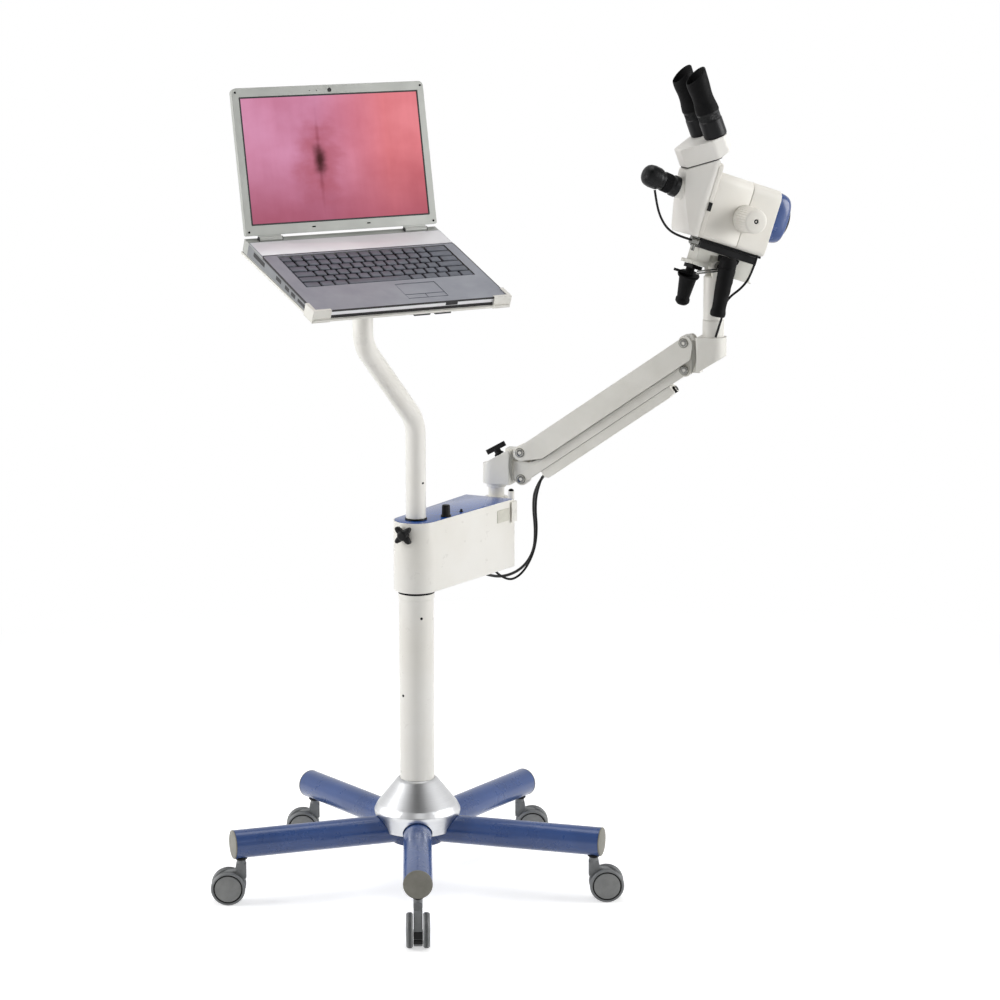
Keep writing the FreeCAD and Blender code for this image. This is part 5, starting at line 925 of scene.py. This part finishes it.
def makeEyepiece(name, side):
    place = within(blockPlace, (0, side * eyeLook["half"], 0), np.eye(3))
    n, foot = eyeLook["length"], eyeLook["cupFoot"]

    def knurl(angle, height):
        zone = np.clip((height - 31.4) / 0.6, 0, 1) * np.clip((41.6 - height) / 0.6, 0, 1)
        return 1 - 0.03 * zone * (0.5 + 0.5 * np.cos(48 * angle))

    barrel = rounded([(0, 0.3), (18.2, 0.3), (19.5, 2.2), (19.8, 6), (19.7, 29.5), (18.9, 30.8)],
                     [0, 0.5, 0.8, 2, 0.8, 0], 5).tolist()
    barrel += [(18.9, h) for h in (31.2, 32, 34, 36, 38, 40, 41, 41.8)] + [(19.3, 42.6), (19.3, foot + 3),
                                                                           (0, foot + 3)]
    key = name + "_eyepiece"
    makePiece(name + "EyeBarrel", [atWorld(place, turned(barrel, 192, knurl))], anodisedBlack, key,
              [key])
    outer = np.array([(19.6, foot), (20.0, foot + 1.2), (19.9, foot + 5), (19.2, foot + 11),
                      (18.2, foot + 17),
                      (17.6, foot + 23), (17.5, foot + 30), (17.9, foot + 36), (18.5, foot + 42),
                      (19.0, foot + 50), (19.3, foot + 60), (19.3, n + 6)])
    rimTop = np.array([(19.1, n + 7.2), (18.5, n + 7.8), (17.8, n + 7.4)])
    inner = np.array([(17.3, n + 5), (16.3, n - 2), (15.2, n - 9), (14.4, n - 14), (8, n - 15), (0, n - 15)])
    line = np.concatenate([outer, rimTop, inner])
    steps = 120
    angle = np.linspace(0, 2 * math.pi, steps, endpoint=False)[None, :]
    r, h = line[:, :1], line[:, 1:]
    lean = np.clip((h - (foot + 34)) / (n + 7.8 - (foot + 34)), 0, 1) ** 1.2
    height = h - lean * eyeLook["wing"] * (0.5 - 0.5 * np.cos(angle)) * np.where(r < 15, 0, 1)
    flare = 1 + 0.03 * np.clip((h - n + 8) / 12, 0, 1) * np.cos(angle)
    rings = np.stack([r * flare * np.cos(angle), r * flare * np.sin(angle), height], -1)
    footRing = np.stack([np.zeros(steps), np.zeros(steps), np.full(steps, foot)], -1)[None]
    makePiece(name + "EyeCup", [atWorld(place, np.concatenate([footRing, rings]))], rubberBlack, key,
              sharp=50)
    glass = turned(rounded([(0, n - 15.5), (14.2, n - 15.5), (14.2, n - 13.4), (0, n - 12.2)],
                           [0, 0, 0.4, 0]), 48)
    makePiece(name + "EyeLens", [atWorld(place, glass)], lensGlass, key)


sideCameraLook = {"tilt": 5.2, "foot": (-68.0, 0.0, 55.5), "ahead": 25.02, "grooves": 40}


def makeSideCamera():
    look = sideCameraLook
    tilt = math.radians(look["tilt"])
    way = np.array([-math.cos(tilt), 0, math.sin(tilt)])
    place = aimed(headPlace, np.array(look["foot"]) + way * look["ahead"], way)
    body = rounded([(0, 0), (17.8, 0), (17.8, 9), (15.8, 10.4), (15.8, 14.1), (13.6, 14.1), (13.6, 27.9),
                    (15.8, 27.9), (15.8, 33), (17.4, 34.2), (18.7, 38.4), (18.9, 44), (18.8, 51),
                    (17.8, 56.5), (15.4, 60.8), (11.6, 63.9), (6.4, 65.6), (0, 66)],
                   [0, 0.8, 1.2, 0.6, 0.3, 0, 0, 0.3, 1.2, 1, 2, 4, 5, 5, 4, 5, 6, 0], 4)
    makePiece("sideCameraBody", [atWorld(place, turned(body, 128))], anodisedBlack, "head",
              ["camera_body"])

    def grooves(angle, height):
        return 1 - 0.035 * np.clip((0.5 + 0.5 * np.cos(look["grooves"] * angle)) * 1.6 - 0.5, 0,
                                   1) * ((height > 15.2) & (height < 26.8))

    ring = [(13.65, 14.4), (16.4, 14.4), (16.6, 14.9), (16.6, 15.6), (16.6, 16.2), (16.6, 25.8),
            (16.6, 26.4), (16.6, 27.1), (16.4, 27.6), (13.65, 27.6)]
    makePiece("sideCameraRing", [atWorld(place, turned(ring, 240, grooves))], rubberBlack, "camera_ring",
              ["camera_ring"], ends="joined")
    band = [(18.7, 47.6), (19.1, 48), (19.1, 49.2), (18.7, 49.6)]
    makePiece("sideCameraBand", [atWorld(place, turned(band, 96))], blackNylon, "head",
              ends="joined")


gripLook = {"lean": 6.2, "top": (19.7, -44.0, -47.3), "length": 82.0, "fingerWidth": 17.5}


# Grip: turned rubber with shallow waves where the fingers lie; the waves fade on the thumb's side
def makeNearGrip():
    lean = math.radians(gripLook["lean"])
    place = aimed(headPlace, gripLook["top"], (math.sin(lean), 0, -math.cos(lean)))
    n = gripLook["length"]
    line = np.array([(14.0, 0), (14.6, 0.8), (14.7, 5), (14.5, 10), (14.3, 16), (14.1, 22), (13.9, 28),
                     (13.6, 34),
                     (13.3, 40), (12.9, 46), (12.5, 52), (12.1, 58), (11.9, 64), (11.9, 67), (12.3, 70),
                     (13.1, 73), (13.3, 76), (12.8, 79), (11.3, 81.3), (9, n), (0, n)])
    height = np.linspace(0, n, 90)
    fine = np.interp(height, line[:-2, 1], line[:-2, 0])
    fine[-4:] = [12.9, 12.2, 11.0, 9.2]
    profile = [(0, 0)] + list(zip(fine, height)) + [(0, n)]

    def fingers(angle, h):
        wave = 0.5 + 0.5 * np.cos((h - 12) * 2 * math.pi / gripLook["fingerWidth"])
        zone = np.clip((h - 8) / 8, 0, 1) * np.clip((66 - h) / 8, 0, 1)
        return 1 - 0.05 * zone * wave * (0.5 + 0.5 * np.cos(angle)) ** 1.5

    makePiece("nearGripRubber", [atWorld(place, turned(profile, 96, fingers))], rubberBlack, "near_grip",
              ["near_grip"], sharp=60)


makeRearShell()
makeObjective()
makeMagKnob()
makeEyepiece("near", -1)
makeEyepiece("far", 1)
makeSideCamera()
makeNearGrip()
print("head made")


# small hardware: pivot screws with rings of painted shade about them, the link's heels, hollows drawn as
# thin sheets of painted shade, channel plug and a black plate of painted shadow under the eyepiece block
hardwareLook = {"headRadius": 6.5, "socketRadius": 2.9, "first": 50.0, "hollowFirst": 37.0,
                "hollowLast": 355.0}


# A round-head screw with a six-sided hole: rings shrink from the head's circle to the hexagon's outline
def screwRings(look, height):
    steps = 48
    angle = np.linspace(0, 2 * math.pi, steps, endpoint=False)
    six = math.cos(math.pi / 6) / np.cos((angle % (math.pi / 3)) - math.pi / 6)
    r, hole = look["headRadius"], look["socketRadius"]
    plan = [(np.full(steps, r - 0.1), 0), (np.full(steps, r), 0.3), (np.full(steps, r), height - 0.8),
            (np.full(steps, r - 0.35), height - 0.25), (np.full(steps, r - 1.0), height),
            (hole * 1.1 * six, height), (hole * six, height - 0.3), (hole * six, height - 1.9)]
    return np.stack([np.stack([rad * np.cos(angle), rad * np.sin(angle), np.full(steps, h)], -1)
                     for rad, h in plan])


def makeHardware():
    look = hardwareLook
    ends = {"arm_base": (look["first"], 0.0), "arm_end": (look["first"] + armRun, armRise)}
    for body, (s, rise) in ends.items():
        shells, rings = [], []
        for z, half in ((upperPivot + rise, 22.1), (lowerPivot + rise, 15.6)):
            for side in (-1, 1):
                place = aimed(armPlace, (s, side * half, z), (0, side, 0))
                shells.append(atWorld(place, screwRings(look, 2.1)))
                # a thin ring in the darker lacquer about each pivot screw: painted shade of its countersink
                rings.append(atWorld(place, turned([(6.6, 0), (8.4, 0), (8.4, 0.25), (6.6, 0.5)], 48)))
        makePiece(body + "PivotScrews", shells, nickelSteel, body, sharp=30)
        makePiece(body + "PivotShadeRings", rings, paintedShadeGrey, body, ends="joined")
    heel = rounded([(0, -7.6), (34, -7.6), (62, 7.6), (30, 15.5), (16.5, 28.5), (4, 33), (-5.5, 31),
                    (-10.2, 0)],
                   [7, 4, 2, 6, 6, 5, 4, 6], 5, closed=True)
    cheeks = [atWorld(linkPlace, onSide(slab(heel,
                                             softEdges(side * 13.6 - 1.7, side * 13.6 + 1.7, 0.3, 0.3, 2))))
              for side in (-1, 1)]
    makePiece("linkHeel", cheeks, castIvory, "lower_link")
    # thin sheets in the crescent outline of each hollow, laid on the side faces in the darker lacquer:
    # painted shade of the hollow
    for body, s, rise, way in (("arm_base", look["hollowFirst"], 0.0, -1),
                               ("arm_end", look["hollowLast"], armRise, 1)):
        bow = np.linspace(-1, 1, 17)
        outer = np.stack([s + way * 7.5 * (1 - bow ** 2), 694.7 + rise + 29.0 * bow], 1)
        inner = np.stack([s + way * 1.2 * (1 - bow ** 2), 694.7 + rise + 29.0 * bow], 1)[::-1]
        hollow = np.concatenate([outer, inner[1:-1]])[:: -way]
        shells = [atWorld(armPlace, onSide(slab(hollow, [(side * 22.0 - 0.12, 0), (side * 22.0 + 0.12, 0)])))
                  for side in (-1, 1)]
        makePiece(body + "PaintedShadeHollow", shells, paintedShadeGrey, body)
    place = aimed(linkPlace, (318, 0, -18), (1, 0, 0))
    plug = rounded([(0, -1.0), (6.15, -1.0), (6.15, 4.0), (4.6, 5.15), (0, 5.15)], [0, 0, 0.8, 0.8, 0])
    makePiece("channelPlug", [atWorld(place, turned(plug, 48))], blackNylon, "lower_link")
    # a thin black plate under the front of the eyepiece block: painted shadow of the gap between the block
    # and the front housing
    outline = rounded([(-61.5, -12.3), (-16, -46), (-8, -46), (-8, 46), (-16, 46), (-61.5, 12.3)],
                      [3, 12, 2, 2, 12, 3], 6, closed=True)
    paintedShadow = slab(outline, softEdges(-33.6, -32.05, 0.4, 0.2, 2))
    makePiece("blockShadowPlate", [atWorld(blockPlace, paintedShadow)], rubberBlack, "head")


makeHardware()
print("hardware made")


# laptop: key caps, silver strip, touch panel lines, screen panel and its rim, buttons and feet
laptopLook = {"width": 355.0, "depth": 245.0, "keysLeft": -151.5, "keysWidth": 309.0, "keysBack": -60.0,
              "keysDepth": 106.0, "columns": 15, "rows": 6, "gap": 3.7, "keyTop": -0.25, "keyFoot": -2.4,
              "latch": (60.0, 82.0), "pads": (2.0, 40.0),
              "ports": [(-215, 26, 5), (-180, 14, 6), (-158, 14, 6), (-130, 18, 6), (-70, 40, 7)],
              "screen": (331.0, 207.0), "margin": 23.0, "lidTop": 245.0}


def keySpans(row):
    if row == 0:
        return [(0, 1.4), (1.4, 2.6), (2.6, 3.8), (3.8, 9.4), (9.4, 10.6), (10.6, 11.8), (11.8, 12.8),
                (12.8, 13.9), (13.9, 15)]
    shift = [0, 2.2, 1.8, 1.5, 1.0, 0.0][row]
    edges = ([0.0] if shift else []) + list(np.arange(shift, 13.8, 1.0))
    return [(a, b) for a, b in zip(edges, edges[1:])] + [(edges[-1], 15.0)]


# Every cap is the same small rounded frustum, scaled to its own place in the grid
def makeKeys():
    look = laptopLook
    pitchX, pitchY = look["keysWidth"] / look["columns"], look["keysDepth"] / look["rows"]
    spans = np.array([(a, b, row) for row in range(look["rows"]) for a, b in keySpans(row)])
    gap = look["gap"] / 2
    x0, x1 = look["keysLeft"] + spans[:, 0] * pitchX + gap, look["keysLeft"] + spans[:, 1] * pitchX - gap
    y0 = look["keysBack"] - look["keysDepth"] + spans[:, 2] * pitchY + gap
    y1 = y0 + pitchY - 2 * gap
    shells = []
    for a, b, c, d in zip(x0, x1, y0, y1):
        cap = slab(rectangle(a, b, c, d, 1.4, 3), [(look["keyFoot"], 0), (look["keyTop"] - 0.5, 0.25),
                                                   (look["keyTop"] - 0.1, 0.75), (look["keyTop"], 1.4)])
        shells.append(atWorld(deckPlace, cap))
    makePiece("keyCaps", shells, keyGrey, "keys", ["laptop_keys"], sharp=60)
    well = slab(rectangle(look["keysLeft"] - 0.6, look["keysLeft"] + look["keysWidth"] + 0.6,
                          look["keysBack"] - look["keysDepth"] - 0.6, look["keysBack"] + 0.6, 1.5, 4),
                [(-5.4, 0), (-4.9, 0)])
    makePiece("keyWell", [atWorld(deckPlace, well)], keyWell, "tray")


# A flat frame: the outer outline and the inner one joined by four rows round a closed ring
def flatFrame(x0, x1, y0, y1, wide, low, high, radius=1.0):
    outer = rectangle(x0, x1, y0, y1, radius, 5)
    return slab(outer, [(low, 0), (high, 0), (high, wide), (low, wide)])


def panelUv(points):
    local = (points - lidPlace[1]) @ lidPlace[0]
    wide, tall = laptopLook["screen"]
    return np.stack([local[:, 0] / wide + 0.5, (local[:, 2] - laptopLook["margin"]) / tall], 1)


def makeLaptopTrim():
    look = laptopLook
    half, depth = look["width"] / 2, look["depth"]
    strip = slab(rounded([(-half + 1.5, -54), (half - 1.5, -54), (half - 1.5, -9.5), (-half + 1.5, -9.5)],
                         [2, 2, 1, 1], 4, closed=True), softEdges(-0.4, 0.5, 0.0, 0.35, 2))
    makePiece("speakerStrip", [atWorld(deckPlace, strip)], stripSilver, "tray")
    lines = [flatFrame(1.0, 74.0, -227.0, -178.0, 0.7, -0.4, 0.12, 1.5),
             slab(rectangle(1.6, 73.4, -214.4, -213.8), [(-0.4, 0), (0.12, 0)]),
             slab(rectangle(37.2, 37.8, -226.6, -214.2), [(-0.4, 0), (0.12, 0)])]
    makePiece("touchPadLines", [atWorld(deckPlace, s) for s in lines[:1]], keyGrey, "tray",
              ends="joined")
    makePiece("touchPadButtons", [atWorld(deckPlace, s) for s in lines[1:]], keyGrey, "tray")
    # a dark band across the laptop's lower front is painted shadow of the slot between the laptop and the
    # tray; with it are the latch mark and the pads
    shadowAndLatch = [(-half + 30, half - 30, -13.4, -8.2, 0.35),
            (look["latch"][0], look["latch"][1], -7.4, -2.2, 0.5)]
    dark = [onSide(slab(rectangle(x0, x1, z0, z1, 0.8, 3), [(-depth - out, 0), (-depth + 2, 0)]))
            for x0, x1, z0, z1, out in shadowAndLatch]
    rim = flatFrame(-half - 0.1, half + 0.1, -depth - 0.3, -54.5, 1.6, -2.6, 0.12, 6)
    pads = [slab(rectangle(x0, x0 + 30, -depth - 5.6, -depth + 1, 1, 3),
                 [(-19.6, 0.4), (-19.2, 0), (-16.6, 0)])
            for x0 in look["pads"]]
    makePiece("frontShadowAndPads", [atWorld(deckPlace, s) for s in dark + pads], keyWell, "tray")
    makePiece("deckEdge", [atWorld(deckPlace, rim)], keyWell, "tray", ends="joined")
    wall = [(-depth + 2, -2.8), (-9, -2.8), (-9, -21.5), (-depth + 2, -12.4)]
    side = onEnd(slab(rounded(wall, 0.8, 3, closed=True),
                      [(-half - 0.25, 0.1), (-half - 0.15, 0), (-half + 1, 0)]))
    ports = [onEnd(slab(rectangle(y0, y0 + long, -6 - tall, -5.5, 0.7, 3),
                        [(-half - 0.4, 0), (-half + 0.5, 0)]))
             for y0, long, tall in look["ports"]]
    # the side wall takes the darker copy of the silver lacquer: painted shade on the laptop's left side
    makePiece("sideWall", [atWorld(deckPlace, side)], paintedShadeLacquer, "tray")
    makePiece("sidePorts", [atWorld(deckPlace, s) for s in ports], keyWell, "tray")
    face = onSide(slab(rectangle(-half + 1.5, half - 1.5, -12.9, -2.6, 1.0, 3),
                       [(-depth - 0.2, 0), (-depth + 2, 0)]))
    makePiece("frontFace", [atWorld(deckPlace, face)], stripSilver, "tray")
    wide, tall = look["screen"]
    panel = onSide(slab(rectangle(-wide / 2 + 2, wide / 2 - 2, look["margin"] + 2,
                                  look["margin"] + tall - 2),
                        [(0.62, 0), (1.9, 0)]))
    makePiece("displayPanel", [atWorld(lidPlace, panel)], display, "lid", ["screen_panel"],
              uvOf=panelUv)
    rim = onSide(flatFrame(-wide / 2 - 0.3, wide / 2 + 0.3, look["margin"] - 0.3,
                           look["margin"] + tall + 0.3, 2.6, -0.15, 1.0, 1.5))
    makePiece("displayRim", [atWorld(lidPlace, rim)], keyWell, "lid", ends="joined")
    dots = []
    top = look["lidTop"]
    buttons = [(-half + 6, top - 7, 1.9), (half - 6, top - 7, 1.9), (-half + 6, 12.5, 1.9),
               (half - 6, 12.5, 1.9), (-23, top - 8.5, 0.7), (-36, top - 8.5, 0.7)]
    for x, z, r in buttons:
        place = aimed(lidPlace, (x, 0, z), (0, -1, 0))
        dots.append(atWorld(place, turned(rounded([(0, -0.5), (r, -0.5), (r, 0.55), (0, 0.8)],
                                                  [0, 0, 0.3, 0]), 24)))
    for x0, x1, z0, z1 in ((-56, -50, 14.5, 16.5), (46, 52, 14.5, 16.5)):
        dots.append(atWorld(lidPlace, onSide(slab(rectangle(x0, x1, z0, z1, 0.6, 3),
                                                  [(-0.7, 0), (0.5, 0)]))))
    makePiece("lidButtons", dots, rubberBlack, "lid")
    eye = aimed(lidPlace, (1, 0, top - 8.5), (0, -1, 0))
    shade = turned(rounded([(0, -0.5), (3.6, -0.5), (3.6, 0.3), (2.6, 0.5), (2.2, 0.1), (0, 0.1)],
                           [0, 0, 0.3, 0.1, 0.1, 0]), 36)
    makePiece("lidCamera", [atWorld(eye, shade)], keyWell, "lid")
    seams = []
    for x in (-156.2, -114.0, 113.4, 155.6):
        seams.append(atWorld(aimed(lidPlace, (x, 0, 0), (1, 0, 0)),
                             turned([(0, 0), (4.5, 0), (4.5, 0.6), (0, 0.6)], 40)))
    makePiece("hingeSeams", seams, keyWell, "lid")


makeKeys()
makeLaptopTrim()
print("laptop made")


# CAD nodes that keep their own shape, by finish
kept = {
    "label_plate": plateGrey, "tray_bracket": powderIvory,
    "tray": castIvory, "laptop_base": silverLacquer, "laptop_deck": palmRest, "laptop_lid": silverLacquer,
    "arm_base_block": castIvory, "arm_lock_knob": blackNylon, "upper_beam": castIvory,
    "lower_link": castIvory,
    "cable_channel": castIvory, "end_block": castIvory, "head_rod": powderIvory, "tilt_lock": nickelSteel,
    "focus_carriage": saddleGrey, "slide_base": anodisedBlack, "far_grip": rubberBlack,
    "slide_rail": anodisedBlack,
    "camera_plug": nickelSteel, "front_housing": mouldedPale, "rocker_switch": blackNylon,
    "lens_cell": anodisedBlack, "objective_lens": lensGlass, "binocular_block": mouldedPale,
}
for nodeName, finish in kept.items():
    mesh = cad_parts[nodeName].data
    mesh.materials.clear()
    mesh.materials.append(finish)
print("finishes given")


# stage: pale floor that turns to plain white away from the object, and soft lamps round it
stageLook = {"clearFrom": 0.9, "clearTo": 2.2, "paper": 0.8, "glow": 0.57, "soft": 0.27, "front": 0.05,
             "round": 0.8, "wide": 30.0, "low": -0.0002, "aim": (0, 0, 0.7)}
lampLook = {
    "sideLeft": {"at": (-3.6, -0.3, 1.6), "size": 2.4, "power": 88.0},
    "sideRight": {"at": (3.6, -0.5, 1.5), "size": 2.4, "power": 84.0},
    "front": {"at": (0.3, -4.2, 2.8), "size": 2.2, "power": 13.0},
    "top": {"at": (0.1, 0.5, 4.0), "size": 2.6, "power": 40.0},
}


def makeStage():
    made, tree, output, position = newMaterial("seamlessPaper")
    reach = addNode(tree, "VectorMath", {"operation": "LENGTH"}, {0: position})
    clear = addNode(tree, "MapRange", {"interpolation_type": "SMOOTHSTEP",
                                       "From Min": stageLook["clearFrom"],
                                       "From Max": stageLook["clearTo"], "To Min": 0.0, "To Max": 1.0},
                    {"Value": reach.outputs["Value"]})
    paper = addNode(tree, "BsdfDiffuse", {"Color": [stageLook["paper"]] * 3 + [1]})
    glow = addNode(tree, "Emission", {"Color": (1, 1, 1, 1), "Strength": stageLook["glow"]})
    lit = addNode(tree, "AddShader", {}, {0: paper.outputs["BSDF"], 1: glow.outputs["Emission"]})
    plain = addNode(tree, "Emission", {"Color": (1, 1, 1, 1), "Strength": 1.0})
    seen = addNode(tree, "MixShader", {}, {0: clear.outputs["Result"], 1: lit.outputs["Shader"],
                                           2: plain.outputs["Emission"]})
    path = addNode(tree, "LightPath")
    looks = addNode(tree, "Math", {"operation": "MAXIMUM"},
                    {0: path.outputs["Is Camera Ray"], 1: path.outputs["Is Glossy Ray"]})
    both = addNode(tree, "Math", {"operation": "MAXIMUM"},
                   {0: looks.outputs["Value"], 1: path.outputs["Is Transmission Ray"]})
    ground = addNode(tree, "MixShader", {}, {0: both.outputs["Value"], 1: paper.outputs["BSDF"],
                                             2: seen.outputs["Shader"]})
    tree.links.new(ground.outputs["Shader"], output.inputs["Surface"])
    mesh = bpy.data.meshes.new("floor")
    wide, low = stageLook["wide"], stageLook["low"]
    mesh.from_pydata([(-wide, -wide, low), (wide, -wide, low), (wide, wide, low), (-wide, wide, low)],
                     [], [(0, 1, 2, 3)])
    mesh.materials.append(made)
    floor = bpy.data.objects.new("floor", mesh)
    bpy.context.scene.collection.objects.link(floor)
    world = bpy.data.worlds.new("studio")
    world.use_nodes = True
    tree = world.node_tree
    tree.nodes.clear()
    path = addNode(tree, "LightPath")
    both = addNode(tree, "Math", {"operation": "MAXIMUM"},
                   {0: path.outputs["Is Camera Ray"], 1: path.outputs["Is Transmission Ray"]})
    way = addNode(tree, "TexCoord").outputs["Generated"]
    parts = addNode(tree, "SeparateXYZ", {}, {0: way})
    aside = addNode(tree, "Math", {"operation": "ABSOLUTE"}, {0: parts.outputs["X"]})
    flank = addNode(tree, "MapRange", {"interpolation_type": "SMOOTHSTEP", "From Min": 0.1, "From Max": 0.7},
                    {"Value": aside.outputs["Value"]})
    behind = addNode(tree, "MapRange", {"interpolation_type": "SMOOTHSTEP", "From Min": 0.2,
                                        "From Max": 0.8},
                     {"Value": parts.outputs["Y"]})
    bright = addNode(tree, "Math", {"operation": "MAXIMUM"},
                     {0: flank.outputs["Result"], 1: behind.outputs["Result"]})
    dark = addNode(tree, "MapRange", {"To Min": stageLook["front"], "To Max": stageLook["round"]},
                   {"Value": bright.outputs["Value"]})
    soft = addNode(tree, "Background", {"Color": (1, 1, 1, 1), "Strength": stageLook["soft"]})
    mirrored = addNode(tree, "Background", {"Color": (1, 1, 1, 1)}, {"Strength": dark.outputs["Result"]})
    seen = addNode(tree, "Background", {"Color": (1, 1, 1, 1), "Strength": 1.0})
    lit = addNode(tree, "MixShader", {}, {0: path.outputs["Is Glossy Ray"], 1: soft.outputs["Background"],
                                          2: mirrored.outputs["Background"]})
    mixed = addNode(tree, "MixShader", {}, {0: both.outputs["Value"], 1: lit.outputs["Shader"],
                                            2: seen.outputs["Background"]})
    output = addNode(tree, "OutputWorld")
    tree.links.new(mixed.outputs["Shader"], output.inputs["Surface"])
    bpy.context.scene.world = world


def makeLamps():
    for name, look in lampLook.items():
        data = bpy.data.lights.new(name, "AREA")
        data.shape, data.size, data.energy = "DISK", look["size"], look["power"]
        lamp = bpy.data.objects.new(name, data)
        lamp.location = look["at"]
        way = Vector(stageLook["aim"]) - Vector(look["at"])
        lamp.rotation_euler = way.to_track_quat("-Z", "Y").to_euler()
        bpy.context.scene.collection.objects.link(lamp)


makeStage()
makeLamps()
bpy.context.scene.view_settings.view_transform = "Standard"
print("stage set")
